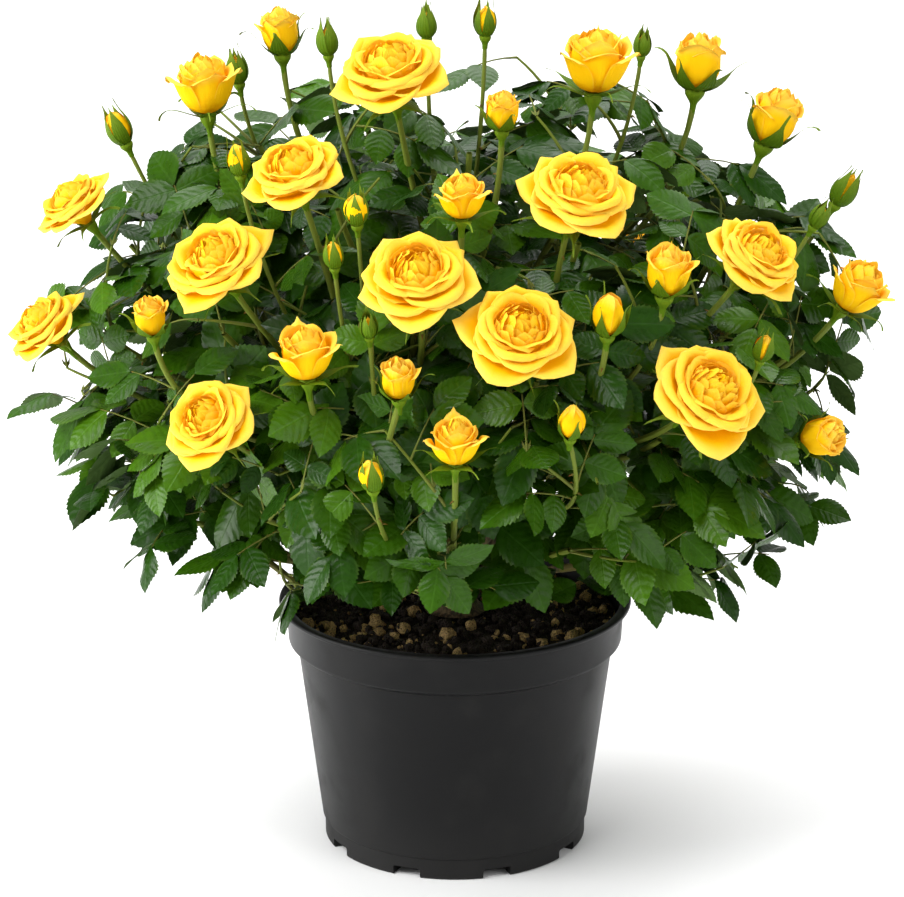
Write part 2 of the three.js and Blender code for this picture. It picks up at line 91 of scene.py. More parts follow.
# Canes in three tiers: count, tilt from upright, bearing of the first, length from the head's middle.
TIERS = (("top", 3, 16, -90, 120), ("middle", 6, 43, -60, 100), ("low", 7, 73, -90, 82))
CANE_START_RADIUS = 3.4
CANE_END_RADIUS = 2.4
CANE_SWAY = 4

STEM_LENGTH = 70
STEM_START_RADIUS = 2.6
STEM_END_RADIUS = 2.0
SHOOT_START_RADIUS = 2.0
SHOOT_END_RADIUS = 1.6
FORKS = (0.04, 1.0)
FLOWERING_LEAVES = (0.22, 0.74)
LEAFY_LEAVES = (0.3, 1.0)
SHOOT_SUNK = 2
SHOOT_ARRIVAL = 0.4
CELL_MARGIN = 1.2
CHECKS_ON_SHOOT = 16
OTHER_CANES = 3
# Sideways and upward bends that a shoot tries in turn, in shares of its length.
DETOURS = (
    (0, 0), (0.12, 0), (-0.12, 0), (0, -0.12), (0, 0.12), (0.25, 0),
    (-0.25, 0), (0.25, -0.2), (-0.25, -0.2), (0, -0.3), (0.4, 0), (-0.4, 0),
)

# The crown: half widths along X and Y, and heights above and below its middle.
CROWN_MIDDLE = 300
BLOOM_REACH = (255, 220, 210, 190)
LEAF_REACH = (260, 228, 190, 190)
LOWEST_LEAF = 152
LOWEST_OVER_SOIL = 188
LOWEST_SHOOT = 176
GOLDEN_ANGLE = 137.5
LEAFY_SHOOTS = 56
LEAFY_REACH = 0.8
LEAFY_POLAR = (10, 146)

# Flowering shoots at the front: stage, bearing and polar angle on the crown, width of the bloom,
# then, where they aren't the usual ones, its lean from upright and its share of the way out.
FRONT_BLOOMS = (
    ("open", -156, 79, 50, 42), ("open", -163, 61, 49, 36), ("bud", -173, 49, 16, 24),
    ("half", -160, 36, 42), ("green", -172, 31, 14, None, 0.95), ("barrel", -175, 23, 27),
    ("green", -138, 22, 13), ("open", -107, 28, 66, 24), ("green", -105, 14, 13), ("bud", -73, 13, 14),
    ("barrel", -80, 35, 22), ("half", -46, 26, 46), ("green", -20, 26, 11), ("barrel", -5, 33, 32),
    ("barrel", -7, 46, 33, 20), ("bud", -6, 61, 16, 30), ("green", -25, 61, 12, 28),
    ("half", -22, 73, 38, 34), ("open", -45, 64, 58), ("open", -71, 51, 66), ("half", -89, 50, 31),
    ("open", -117, 48, 56),
    ("bud", -129, 47, 14), ("open", -124, 63, 60), ("barrel", -133, 72, 22), ("open", -95, 63, 64),
    ("open", -82, 71, 64), ("barrel", -60, 63, 29), ("pointed", -70, 69, 21), ("open", -58, 82, 68),
    ("barrel", -37, 93, 26, 72), ("open", -121, 86, 55), ("half", -109, 74, 38),
    ("barrel", -97, 77, 23), ("half", -90, 86, 33), ("pointed", -76, 84, 17), ("bud", -100, 92, 15),
)
# Buds too small for the solids, on finer twigs.
FINE_BUDS = (("bud", -105, 53, 14), ("bud", -48, 77, 12), ("bud", -107, 60, 12), ("green", -101, 70, 11))
BACK_BLOOMS = 10
BACK_BEARING = (44, 136)
BACK_POLAR = (98, 74, 86)
BACK_STAGES = (("open", 60), ("bud", 15), ("half", 40), ("open", 64), ("barrel", 26))
BALL_MARGIN = 2
# The share of its shoot's tilt that a bloom leans.
LEAN = {"open": 0.9, "half": 0.25, "barrel": 0.25, "pointed": 0.25, "bud": 0.35, "green": 0.35}
# Per stage: the ball that a bloom keeps to itself, and the height of its foot, in half widths.
BALL = {"open": 1.1, "half": 1.2, "barrel": 1.35, "pointed": 1.35, "bud": 1.6, "green": 1.6}
FOOT ={"open": -0.7, "half": -1.2, "barrel": -1.6, "pointed": -1.6, "bud": -1.8, "green": -1.8}

# The side that the bush is seen from first.
CAMERA_PLACE = (-0.0018, -2.1, 0.895)
CAMERA_PITCH = 17.28
SEEN_FROM = np.array((0.0, -math.cos(math.radians(CAMERA_PITCH)), math.sin(math.radians(CAMERA_PITCH))))

# ---------------------------------------------------------------- growth, by the same rule as the solids

Cane = namedtuple("Cane", "name heading curve")
Bloom = namedtuple("Bloom", "stage middle width axis ball")
Shoot = namedtuple("Shoot", "curve bloom leaves")


def unit(vectors):
    """Vectors at length 1."""
    return vectors / np.linalg.norm(vectors, axis=-1, keepdims=True)


def lerp(first, last, share):
    return first + (last - first) * share


def direction(bearing, tilt):
    """A unit vector from its bearing round +Z and its tilt from upright."""
    b, t = math.radians(bearing), math.radians(tilt)
    return np.array((math.sin(t) * math.cos(b), math.sin(t) * math.sin(b), math.cos(t)))


def on_curve(curve, share):
    """Points of a three-point curve at shares of its length."""
    t = np.asarray(share, float)[..., None]
    return (1 - t) ** 2 * curve[0] + 2 * (1 - t) * t * curve[1] + t**2 * curve[2]


def tangent_of(curve, share):
    t = np.asarray(share, float)[..., None]
    return unit((1 - t) * (curve[1] - curve[0]) + t * (curve[2] - curve[1]))


def length_of(curve):
    steps = on_curve(curve, np.linspace(0, 1, 12))
    return float(np.linalg.norm(np.diff(steps, axis=0), axis=1).sum())


def plan_canes():
    """Every cane, from the crown stem's head to its tip."""
    canes = []
    for tier, count, tilt, bearing, length in TIERS:
        for i in range(count):
            heading = direction(bearing + i * 360 / count, tilt)
            across = unit(np.cross(heading, UP))
            start = HEAD + heading * (HEAD_RADIUS + CLEARANCE)
            tip = HEAD + heading * length
            bend = (start + tip) / 2 + across * (CANE_SWAY if i % 2 else -CANE_SWAY)
            canes.append(Cane(f"{tier}_{i + 1}", heading, np.array((start, bend, tip))))
    return canes


def on_crown(reach, bearing, polar, share=1):
    """A point of the crown's outline from its bearing and its polar angle from the top."""
    height, across = math.cos(math.radians(polar)), math.sin(math.radians(polar))
    x, y, up, down = reach
    return np.array((
        share * x * across * math.cos(math.radians(bearing)),
        share * y * across * math.sin(math.radians(bearing)),
        CROWN_MIDDLE + share * height * (up if height > 0 else down),
    ))


def share_of_crown(reach, points):
    """How far out points lie in the crown: 1 on its outline."""
    x, y, up, down = reach
    above = points[..., 2] - CROWN_MIDDLE
    tall = np.where(above > 0, up, down)
    return np.sqrt((points[..., 0] / x) ** 2 + (points[..., 1] / y) ** 2 + (above / tall) ** 2)


def plan_bloom(stage, bearing, polar, width, lean=None, share=1):
    middle = on_crown(BLOOM_REACH, bearing, polar, share)
    outward = middle - HEAD
    tilt = math.degrees(math.acos(unit(outward)[2]))
    heading = math.degrees(math.atan2(outward[1], outward[0]))
    axis = direction(heading, LEAN[stage] * tilt if lean is None else lean)
    return Bloom(stage, middle, width, axis, BALL[stage] * width / 2 + BALL_MARGIN)


def plan_blooms():
    """The blooms that the solids have, first those at the front, then the arc at the back."""
    rows = list(FRONT_BLOOMS)
    for i in range(BACK_BLOOMS):
        stage, width = BACK_STAGES[i % len(BACK_STAGES)]
        bearing = lerp(*BACK_BEARING, i / (BACK_BLOOMS - 1))
        rows.append((stage, bearing, BACK_POLAR[i % len(BACK_POLAR)], width))
    return [plan_bloom(*row) for row in rows]


def plan_leafy_ends():
    """Ends of the shoots that bear no flower, spread over the crown at the golden angle."""
    first, last = (math.cos(math.radians(angle)) for angle in LEAFY_POLAR)
    ends = []
    for i in range(LEAFY_SHOOTS):
        polar = math.degrees(math.acos(lerp(first, last, (i + 0.5) / LEAFY_SHOOTS)))
        end = on_crown(LEAF_REACH, i * GOLDEN_ANGLE, polar, LEAFY_REACH)
        end[2] = max(end[2], LOWEST_SHOOT)
        ends.append(end)
    return ends


CANES = plan_canes()
HEADINGS = np.array([cane.heading for cane in CANES])
BLOOMS = plan_blooms()
BLOOM_MIDDLES = np.array([bloom.middle for bloom in BLOOMS])
BLOOM_BALLS = np.array([bloom.ball for bloom in BLOOMS])


def all_free(cane, points, own_bloom):
    """Whether a shoot's points keep to the cane's space and out of every bloom but its own."""
    across = CANES[cane].heading - np.delete(HEADINGS, cane, axis=0)
    depth = ((points - HEAD) @ unit(across).T).min(axis=1)
    apart = np.linalg.norm(points[:, None] - BLOOM_MIDDLES, axis=2) - BLOOM_BALLS
    free = depth >= CELL_MARGIN + SHOOT_START_RADIUS
    if own_bloom is not None:
        own = np.linalg.norm(points - own_bloom.middle, axis=1) < own_bloom.ball - BALL_MARGIN
        others = [i for i, bloom in enumerate(BLOOMS) if bloom is not own_bloom]
        free &= (apart[:, others] > SHOOT_START_RADIUS).all(axis=1)
        return bool((free | own).all())
    return bool((free & (apart > SHOOT_START_RADIUS).all(axis=1)).all())


def stem_of(cane):
    """The straight stem of a mass as a curve, from just past its cane's tip."""
    heading, tip = tangent_of(cane.curve, 1.0), cane.curve[2]
    foot, head = tip + heading * CLEARANCE, tip + heading * STEM_LENGTH
    return np.array((foot, (foot + head) / 2, head))


def shoot_curve(cane, fork, end, arrival, own_bloom, must=False):
    """A shoot's curve from its fork on the mass's stem, or None where nothing is free."""
    start = on_curve(stem_of(CANES[cane]), fork)
    span = np.linalg.norm(end - start)
    straight = unit(end - start)
    across = unit(np.cross(straight, UP))
    over = np.cross(across, straight)
    for sideways, upwards in DETOURS:
        bend = end - arrival * SHOOT_ARRIVAL * span + across * sideways * span + over * upwards * span
        curve = np.array((start, bend, end))
        if must or all_free(cane, on_curve(curve, np.linspace(0, 1, CHECKS_ON_SHOOT + 1)), own_bloom):
            return curve
    return None


def bloom_foot(bloom):
    return bloom.middle + bloom.axis * (FOOT[bloom.stage] * bloom.width / 2 + SHOOT_SUNK)


def plan_shoots():
    """Every shoot. A cane takes the ends nearest to its heading; the widest leave its stem first."""
    ends = [(b.middle, bloom_foot(b), b.axis, b, FLOWERING_LEAVES) for b in BLOOMS]
    ends += [(end, end, unit(end - HEAD), None, LEAFY_LEAVES) for end in plan_leafy_ends()]
    nearest = [np.argsort(-(HEADINGS @ unit(end[0] - HEAD)), kind="stable") for end in ends]
    shoots = []

    def reach(number, cane, fork):
        _aim, end, arrival, bloom, leaves = ends[number]
        curve = shoot_curve(cane, fork, end, arrival, bloom)
        if curve is not None:
            shoots.append(Shoot(curve, bloom, leaves))
        return curve is not None

    for cane in range(len(CANES)):
        tip = CANES[cane].curve[2]
        own = [i for i in range(len(ends)) if nearest[i][0] == cane]
        own.sort(key=lambda i: unit(ends[i][0] - tip) @ CANES[cane].heading)
        for place, number in enumerate(own):
            fork = lerp(*FORKS, (place + 0.5) / len(own))
            if reach(number, cane, fork) or ends[number][3] is None:
                continue
            any(reach(number, int(other), FORKS[0]) for other in nearest[number][1 : 1 + OTHER_CANES])
    return shoots


def plan_fine_buds():
    """Small buds on twigs of their own, from the middle of the nearest mass's stem."""
    shoots = []
    for row in FINE_BUDS:
        bloom = plan_bloom(*row)
        cane = int(np.argmax(HEADINGS @ unit(bloom.middle - HEAD)))
        curve = shoot_curve(cane, 0.5, bloom_foot(bloom), bloom.axis, bloom, must=True)
        shoots.append(Shoot(curve, bloom, FLOWERING_LEAVES))
    return shoots


SHOOTS = plan_shoots() + plan_fine_buds()
SHOWN_BLOOMS = [shoot.bloom for shoot in SHOOTS if shoot.bloom]

# ---------------------------------------------------------------- settings


def length(name, description, default):
    return bpy.props.FloatProperty(
        name=name, description=description, default=default, min=0, unit="LENGTH", precision=4
    )


def count(name, description, default):
    return bpy.props.IntProperty(name=name, description=description, default=default, min=1)


def amount(name, description, default, high=1.0):
    return bpy.props.FloatProperty(
        name=name, description=description, default=default, min=0, max=high, subtype="FACTOR"
    )


def colour(name, description, default):
    return bpy.props.FloatVectorProperty(
        name=name, description=description, default=default, size=3, min=0, max=1, subtype="COLOR"
    )


class PotSettings(bpy.types.PropertyGroup):
    sides: count("Sides", "Sides of the pot's circles", 128)
    wall: length("Wall", "Thickness of the pot's wall", 0.0022)
    plastic: colour("Plastic", "Colour of the pot", (0.0045, 0.0046, 0.0048))
    roughness: amount("Roughness", "Roughness of the plastic", 0.42)


class SoilSettings(bpy.types.PropertyGroup):
    dark: colour("Compost", "Colour of the moist compost", (0.012, 0.007, 0.004))
    tan: colour("Bark bits", "Colour of the pale porous bits", (0.58, 0.38, 0.15))
    crumbs: count("Crumbs", "Number of dark crumbs", 1500)
    bits: count("Bits", "Number of pale bits", 320)
    relief: length("Relief", "Height of the lumps", 0.005)


class WoodSettings(bpy.types.PropertyGroup):
    bark: colour("Bark", "Colour of the old wood", (0.085, 0.055, 0.024))
    green: colour("Green bark", "Colour of the young shoots", (0.14, 0.185, 0.022))
    red: colour("Stalks", "Colour of leaf stalks and prickles", (0.12, 0.12, 0.025))
    prickles: count("Prickles", "Prickles on each shoot", 5)


class LeafSettings(bpy.types.PropertyGroup):
    size: length("Length", "Length of a compound leaf", 0.065)
    spacing: length("Spacing", "Distance between leaves on a shoot", 0.026)
    deep: colour("Deep green", "Colour of the oldest leaves", (0.013, 0.052, 0.001))
    middle: colour("Middle green", "Colour of most leaves", (0.028, 0.090, 0.0015))
    fresh: colour("Fresh green", "Colour of the youngest leaves", (0.047, 0.128, 0.003))
    under: colour("Underside", "Colour of the leaves' undersides", (0.07, 0.13, 0.03))
    gloss: amount("Roughness", "Roughness of the leaves", 0.27)


class BloomSettings(bpy.types.PropertyGroup):
    rim: colour("Rim", "Colour of the petals' rims", (0.93, 0.63, 0.09))
    petal: colour("Petal", "Colour of the open petals", (0.93, 0.53, 0.003))
    heart: colour("Heart", "Colour deep in the flower", (0.93, 0.49, 0.001))
    fold: colour("Fold", "Colour at the foot of the petals", (0.92, 0.38, 0.0006))
    sepal: colour("Sepal", "Colour of sepals and hips", (0.075, 0.150, 0.005))


class StageSettings(bpy.types.PropertyGroup):
    floor: colour("Floor", "Colour of the floor", (0.93, 0.93, 0.93))
    lens: bpy.props.FloatProperty(name="Lens", description="Focal length in mm", default=148.66, min=1)
    key: bpy.props.FloatProperty(name="Key", description="Key light", default=74, min=0, unit="POWER")
    fill: bpy.props.FloatProperty(name="Fill", description="Fill light", default=24, min=0, unit="POWER")
    sky: amount("Sky", "Strength of the even light", 0.42, 4.0)


SETTINGS = {
    "rose_pot": PotSettings,
    "rose_soil": SoilSettings,
    "rose_wood": WoodSettings,
    "rose_leaves": LeafSettings,
    "rose_blooms": BloomSettings,
    "rose_stage": StageSettings,
}

# ---------------------------------------------------------------- materials


def fill_sockets(tree, node, values):
    """Gives a node's sockets, by name or number, their constants and links."""
    for socket, value in values.items():
        if isinstance(value, bpy.types.NodeSocket):
            tree.links.new(value, node.inputs[socket])
        else:
            node.inputs[socket].default_value = value


def add_node(tree, kind, values=None, **options):
    """A node with options, and with values on its sockets by name or number."""
    node = tree.nodes.new(kind)
    for option, value in options.items():
        setattr(node, option, value)
    fill_sockets(tree, node, values or {})
    return node


def math_node(tree, operation, first, second=0.0, third=0.0, clamp=False):
    values = {0: first, 1: second, 2: third}
    return add_node(tree, "ShaderNodeMath", values, operation=operation, use_clamp=clamp).outputs[0]


def mix_colours(tree, factor, first, second):
    """A colour between two, each a socket or a constant."""
    ends = [end if isinstance(end, bpy.types.NodeSocket) else (*end[:3], 1) for end in (first, second)]
    values = {0: factor, 6: ends[0], 7: ends[1]}
    return add_node(tree, "ShaderNodeMix", values, data_type="RGBA").outputs[2]


def stretch(tree, value, low, high, to_low=0.0, to_high=1.0):
    """A value from low to high as one from to_low to to_high, smoothly."""
    return add_node(
        tree,
        "ShaderNodeMapRange",
        {"Value": value, "From Min": low, "From Max": high, "To Min": to_low, "To Max": to_high},
        interpolation_type="SMOOTHSTEP",
    ).outputs[0]


def noise(tree, vector, scale, detail=3.0, roughness=0.55):
    values = {"Vector": vector, "Scale": scale, "Detail": detail, "Roughness": roughness}
    return add_node(tree, "ShaderNodeTexNoise", values).outputs[0]


def bump(tree, height, strength, distance):
    values = {"Height": height, "Strength": strength, "Distance": distance}
    return add_node(tree, "ShaderNodeBump", values).outputs[0]


def new_group(name, inputs, outputs):
    """A node group with named float or vector sockets; returns it with its inner ends."""
    tree = bpy.data.node_groups.new(name, "ShaderNodeTree")
    for socket, kind in inputs.items():
        tree.interface.new_socket(socket, in_out="INPUT", socket_type=kind)
    for socket, kind in outputs.items():
        tree.interface.new_socket(socket, in_out="OUTPUT", socket_type=kind)
    return tree, tree.nodes.new("NodeGroupInput"), tree.nodes.new("NodeGroupOutput")


def use_group(tree, group, values):
    return add_node(tree, "ShaderNodeGroup", values, node_tree=group).outputs


def set_shader(tree, shader, **values):
    """Constants and links for a shader's sockets, whose names have _ for their spaces here."""
    fill_sockets(tree, shader, {name.replace("_", " "): value for name, value in values.items()})


def new_material(name, roughness, **shader):
    """A material; returns it with its tree and its Principled shader."""
    material = bpy.data.materials.new(name)
    material.use_nodes = True
    tree = material.node_tree
    principled = tree.nodes["Principled BSDF"]
    set_shader(tree, principled, Roughness=roughness, **shader)
    return material, tree, principled


def object_place(tree):
    return add_node(tree, "ShaderNodeTexCoord").outputs["Object"]


def map_place(tree):
    return add_node(tree, "ShaderNodeUVMap", uv_map=TILE).outputs[0]


def split_place(tree, place):
    """The X, Y and Z of a place, or the U and V of a map."""
    return add_node(tree, "ShaderNodeSeparateXYZ", {0: place}).outputs


TILE = "OFBake"
FLOAT, VECTOR = "NodeSocketFloat", "NodeSocketVector"


def leaf_vein_group():
    """Veins of a leaflet on its map: U across and V from foot to tip."""
    if "leaf_veins" in bpy.data.node_groups:
        return bpy.data.node_groups["leaf_veins"]
    tree, start, end = new_group(
        "leaf_veins", {"Map": VECTOR, "Pairs": FLOAT}, {"Vein": FLOAT, "Height": FLOAT, "Edge": FLOAT}
    )
    split = split_place(tree, start.outputs["Map"])
    across = math_node(tree, "MULTIPLY_ADD", split[0], 2.0, -1.0)
    side = math_node(tree, "ABSOLUTE", across)
    wander = noise(tree, start.outputs["Map"], 4.0, 2.0)
    slant = math_node(tree, "MULTIPLY", math_node(tree, "POWER", side, 1.5), -0.3)
    along = math_node(tree, "ADD", split[1], slant)
    along = math_node(tree, "ADD", along, math_node(tree, "MULTIPLY_ADD", wander, 0.16, -0.08))
    phase = math_node(tree, "MULTIPLY", along, start.outputs["Pairs"])
    saw = math_node(tree, "PINGPONG", phase, 0.5)
    side_vein = stretch(tree, saw, 0.0, 0.1, 1.0, 0.0)
    fade = stretch(tree, side, 0.75, 1.0, 1.0, 0.15)
    side_vein = math_node(tree, "MULTIPLY", side_vein, fade)
    midrib = stretch(tree, side, 0.015, 0.075, 1.0, 0.0)
    vein = math_node(tree, "MAXIMUM", math_node(tree, "MULTIPLY", side_vein, 0.4), midrib)
    quilt = math_node(tree, "MULTIPLY", stretch(tree, saw, 0.0, 0.5), fade)
    fine = noise(tree, start.outputs["Map"], 30.0, 2.0)
    height = math_node(tree, "MULTIPLY_ADD", midrib, -0.8, quilt)
    height = math_node(tree, "MULTIPLY_ADD", fine, 0.5, height)
    tree.links.new(vein, end.inputs["Vein"])
    tree.links.new(height, end.inputs["Height"])
    tree.links.new(stretch(tree, side, 0.7, 1.0), end.inputs["Edge"])
    return tree


def leaf_material(name, green, settings):
    """Glossy leaf green with impressed veins and a paler underside."""
    material, tree, shader = new_material(name, settings.gloss, Specular_IOR_Level=0.16)
    place = map_place(tree)
    veins = use_group(tree, leaf_vein_group(), {"Map": place, "Pairs": 6.5})
    blotch = noise(tree, place, 3.5, 3.0)
    lighter = [min(1.0, 1.7 * part + 0.012) for part in green]
    darker = [0.8 * part for part in green]
    face = mix_colours(tree, stretch(tree, blotch, 0.3, 0.7), darker, green)
    face = mix_colours(tree, math_node(tree, "MULTIPLY", veins["Vein"], 0.2), face, lighter)
    rim = [0.13, 0.20, 0.03]
    face = mix_colours(tree, math_node(tree, "MULTIPLY", veins["Edge"], 0.2), face, rim)
    behind = add_node(tree, "ShaderNodeNewGeometry").outputs["Backfacing"]
    shown = mix_colours(tree, behind, face, tuple(settings.under))
    rough = math_node(tree, "MULTIPLY_ADD", blotch, 0.16, settings.gloss - 0.06)
    rough = math_node(tree, "MAXIMUM", rough, math_node(tree, "MULTIPLY", behind, 0.6))
    normal = bump(tree, veins["Height"], 0.3, 0.0005)
    set_shader(tree, shader, Base_Color=shown, Roughness=rough, Normal=normal)
    return material


# Light that passes through thin petals, as a faint glow of their own colour.
GLOW = 0.09


def petal_material(settings):
    """Petals: columns of the map run from the outer petals to the heart, V from foot to rim."""
    material, tree, shader = new_material(
        "rose_petal", 0.6, Specular_IOR_Level=0.05, Emission_Strength=GLOW,
        Subsurface_Weight=0.22, Subsurface_Scale=0.006, Subsurface_Radius=(1.0, 0.75, 0.15),
    )
    place = map_place(tree)
    split = split_place(tree, place)
    columns = math_node(tree, "MULTIPLY", split[0], float(PETAL_COLUMNS))
    depth = math_node(tree, "DIVIDE", math_node(tree, "FLOOR", columns), PETAL_COLUMNS - 1.0)
    across = math_node(tree, "FRACT", columns)
    side = math_node(tree, "ABSOLUTE", math_node(tree, "MULTIPLY_ADD", across, 2.0, -1.0))
    along = split[1]
    body = mix_colours(tree, depth, tuple(settings.petal), tuple(settings.heart))
    lit = mix_colours(tree, depth, tuple(settings.rim), tuple(settings.petal))
    edge = stretch(tree, side, 0.86, 1.0, 0.0, 0.6)
    to_rim = math_node(tree, "MAXIMUM", stretch(tree, along, 0.72, 1.0), edge)
    shown = mix_colours(tree, to_rim, body, lit)
    in_fold = stretch(tree, along, 0.10, 0.46, 0.85, 0.0)
    shown = mix_colours(tree, in_fold, shown, tuple(settings.fold))
    stripes = add_node(tree, "ShaderNodeCombineXYZ", {0: math_node(tree, "MULTIPLY", columns, 9.0), 1: along})
    normal = bump(tree, noise(tree, stripes.outputs[0], 2.2, 2.0), 0.35, 0.0006)
    set_shader(tree, shader, Base_Color=shown, Emission_Color=shown, Normal=normal)
    return material


def bark_group():
    """Fissures and flecks of bark at a place; Height for the relief and Fleck for the colour."""
    if "bark_grain" in bpy.data.node_groups:
        return bpy.data.node_groups["bark_grain"]
    tree, start, end = new_group(
        "bark_grain", {"Place": VECTOR, "Scale": FLOAT}, {"Height": FLOAT, "Fleck": FLOAT}
    )
    place, scale = start.outputs["Place"], start.outputs["Scale"]
    long = add_node(tree, "ShaderNodeMapping", {"Vector": place, "Scale": (1.0, 1.0, 0.25)})
    grain = noise(tree, long.outputs[0], scale, 5.0, 0.65)
    lumps = add_node(tree, "ShaderNodeTexVoronoi", {"Vector": place, "Scale": scale}).outputs[0]
    tree.links.new(math_node(tree, "MULTIPLY_ADD", lumps, 0.35, grain), end.inputs["Height"])
    tree.links.new(stretch(tree, grain, 0.42, 0.62), end.inputs["Fleck"])
    return tree


def wood_material(settings):
    """Brown bark with paler ridges and a green cast towards the young wood."""
    material, tree, shader = new_material("rose_bark", 0.78)
    place = object_place(tree)
    grain = use_group(tree, bark_group(), {"Place": place, "Scale": 420.0})
    brown = tuple(settings.bark)
    pale = tuple(min(1.0, 1.9 * part) for part in brown)
    shown = mix_colours(tree, grain["Fleck"], tuple(0.45 * part for part in brown), pale)
    cast = stretch(tree, noise(tree, place, 60.0), 0.45, 0.65, 0.0, 0.45)
    shown = mix_colours(tree, cast, shown, tuple(0.5 * part for part in settings.green))
    set_shader(tree, shader, Base_Color=shown, Normal=bump(tree, grain["Height"], 0.9, 0.0008))
    return material


def shoot_material(settings):
    """Young bark on its map: V runs from old wood at 0 to the fresh neck of a flower at 1."""
    material, tree, shader = new_material("rose_shoot", 0.5, Specular_IOR_Level=0.15)
    place = map_place(tree)
    split = split_place(tree, place)
    grain = use_group(tree, bark_group(), {"Place": place, "Scale": 26.0})
    aged = math_node(tree, "MULTIPLY_ADD", grain["Fleck"], 0.22, split[1])
    old = tuple(0.8 * a + 0.2 * b for a, b in zip(settings.bark, settings.green))
    shown = mix_colours(tree, stretch(tree, aged, 0.1, 0.85), old, tuple(settings.green))
    set_shader(tree, shader, Base_Color=shown, Normal=bump(tree, grain["Height"], 0.4, 0.0004))
    return material


def green_material(name, green, tip):
    """Sepals, hips and stipules: pale green with a ruddy or darker tip and fine ribs on the map."""
    material, tree, shader = new_material(
        name, 0.5, Specular_IOR_Level=0.05, Subsurface_Weight=0.08, Subsurface_Scale=0.002
    )
    place = map_place(tree)
    split = split_place(tree, place)
    ribs = math_node(tree, "SINE", math_node(tree, "MULTIPLY", split[0], 40.0))
    mottled = math_node(tree, "MULTIPLY_ADD", noise(tree, place, 9.0), 0.5, split[1])
    shown = mix_colours(tree, stretch(tree, mottled, 0.55, 1.25), green, tip)
    set_shader(tree, shader, Base_Color=shown, Normal=bump(tree, ribs, 0.3, 0.0003))
    return material


def plastic_material(settings):
    """Matt injection-moulded plastic: fine texture, faint rings, dust on ledges and scuffs."""
    material, tree, shader = new_material("pot_plastic", settings.roughness, Specular_IOR_Level=0.17)
    place = object_place(tree)
    split = split_place(tree, place)
    fine = noise(tree, place, 2600.0, 2.0)
    wide = noise(tree, place, 26.0, 4.0)
    rings = add_node(tree, "ShaderNodeCombineXYZ", {2: split[2]}).outputs[0]
    drawn = noise(tree, rings, 420.0, 1.0)
    dust = stretch(tree, wide, 0.5, 0.78, 0.0, 0.16)
    low = stretch(tree, split[2], 0.0, 0.05, 0.14, 0.0)
    dull = math_node(tree, "ADD", dust, low, clamp=True)
    shown = mix_colours(tree, dull, tuple(settings.plastic), (0.05, 0.048, 0.045))
    rough = math_node(tree, "MULTIPLY_ADD", wide, 0.2, settings.roughness - 0.1)
    rough = math_node(tree, "ADD", rough, dull)
    normal = bump(tree, math_node(tree, "MULTIPLY_ADD", drawn, 0.6, fine), 0.16, 0.0004)
    set_shader(tree, shader, Base_Color=shown, Roughness=rough, Normal=normal)
    return material


def soil_material(name, first, second, scale, depth, roughness=0.92):
    """Crumbly ground: two colours in grains, with pores."""
    material, tree, shader = new_material(name, roughness)
    place = object_place(tree)
    grains = add_node(tree, "ShaderNodeTexVoronoi", {"Vector": place, "Scale": scale}).outputs[0]
    mould = noise(tree, place, scale * 0.6, 5.0, 0.7)
    pick = math_node(tree, "MULTIPLY_ADD", grains, 0.45, math_node(tree, "MULTIPLY", mould, 0.75))
    shown = mix_colours(tree, stretch(tree, pick, 0.36, 0.72), first, second)
    normal = bump(tree, math_node(tree, "ADD", grains, mould), 1.0, depth)
    set_shader(tree, shader, Base_Color=shown, Normal=normal)
    return material


# ---------------------------------------------------------------- making pieces


def clear_selection():
    if bpy.context.object and bpy.context.object.mode != "OBJECT":
        bpy.ops.object.mode_set(mode="OBJECT")
    bpy.ops.object.select_all(action="DESELECT")


def finish_piece(piece, name, material, replaced=()):
    """Names a finished piece, gives it its material and binds it to the frame."""
    piece.name = piece.data.name = name
    piece.data.materials.clear()
    piece.data.materials.append(material)
    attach(piece, "root")
    if replaced:
        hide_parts(*replaced)
    return piece


def turn_profile(profile, sides):
    """A closed turned piece: a disc is raised and widened from one pair of radius and height to the
    next, from the middle of its underside round to the middle of its inside."""
    clear_selection()
    radius, height = profile[0]
    bpy.ops.mesh.primitive_circle_add(
        vertices=sides, radius=radius * MM, fill_type="NGON", location=(0, 0, height * MM)
    )
    bpy.ops.object.transform_apply(location=True)
    bpy.ops.object.mode_set(mode="EDIT")
    bpy.ops.mesh.select_all(action="SELECT")
    for next_radius, next_height in profile[1:]:
        rise = (0, 0, (next_height - height) * MM)
        bpy.ops.mesh.extrude_region_move(TRANSFORM_OT_translate={"value": rise})
        wider = next_radius / radius
        middle = (0, 0, next_height * MM)
        bpy.ops.transform.resize(value=(wider, wider, 1), center_override=middle)
        radius, height = next_radius, next_height
    bpy.ops.mesh.select_all(action="SELECT")
    bpy.ops.mesh.normals_make_consistent(inside=False)
    bpy.ops.object.mode_set(mode="OBJECT")
    return bpy.context.object


def apply_modifiers(piece):
    bpy.context.view_layer.objects.active = piece
    for modifier in list(piece.modifiers):
        bpy.ops.object.modifier_apply(modifier=modifier.name)


def add_lumps(piece, scale, strength, level):
    """A modifier that raises a cloudy relief, of which the share at a level stays where it is."""
    texture = bpy.data.textures.new("lumps", "CLOUDS")
    texture.noise_scale = scale
    lumps = piece.modifiers.new("lumps", "DISPLACE")
    lumps.texture, lumps.strength, lumps.mid_level = texture, strength, level
    return lumps


def smooth_piece(piece, angle=35):
    clear_selection()
    piece.select_set(True)
    bpy.context.view_layer.objects.active = piece
    bpy.ops.object.shade_smooth_by_angle(angle=math.radians(angle))


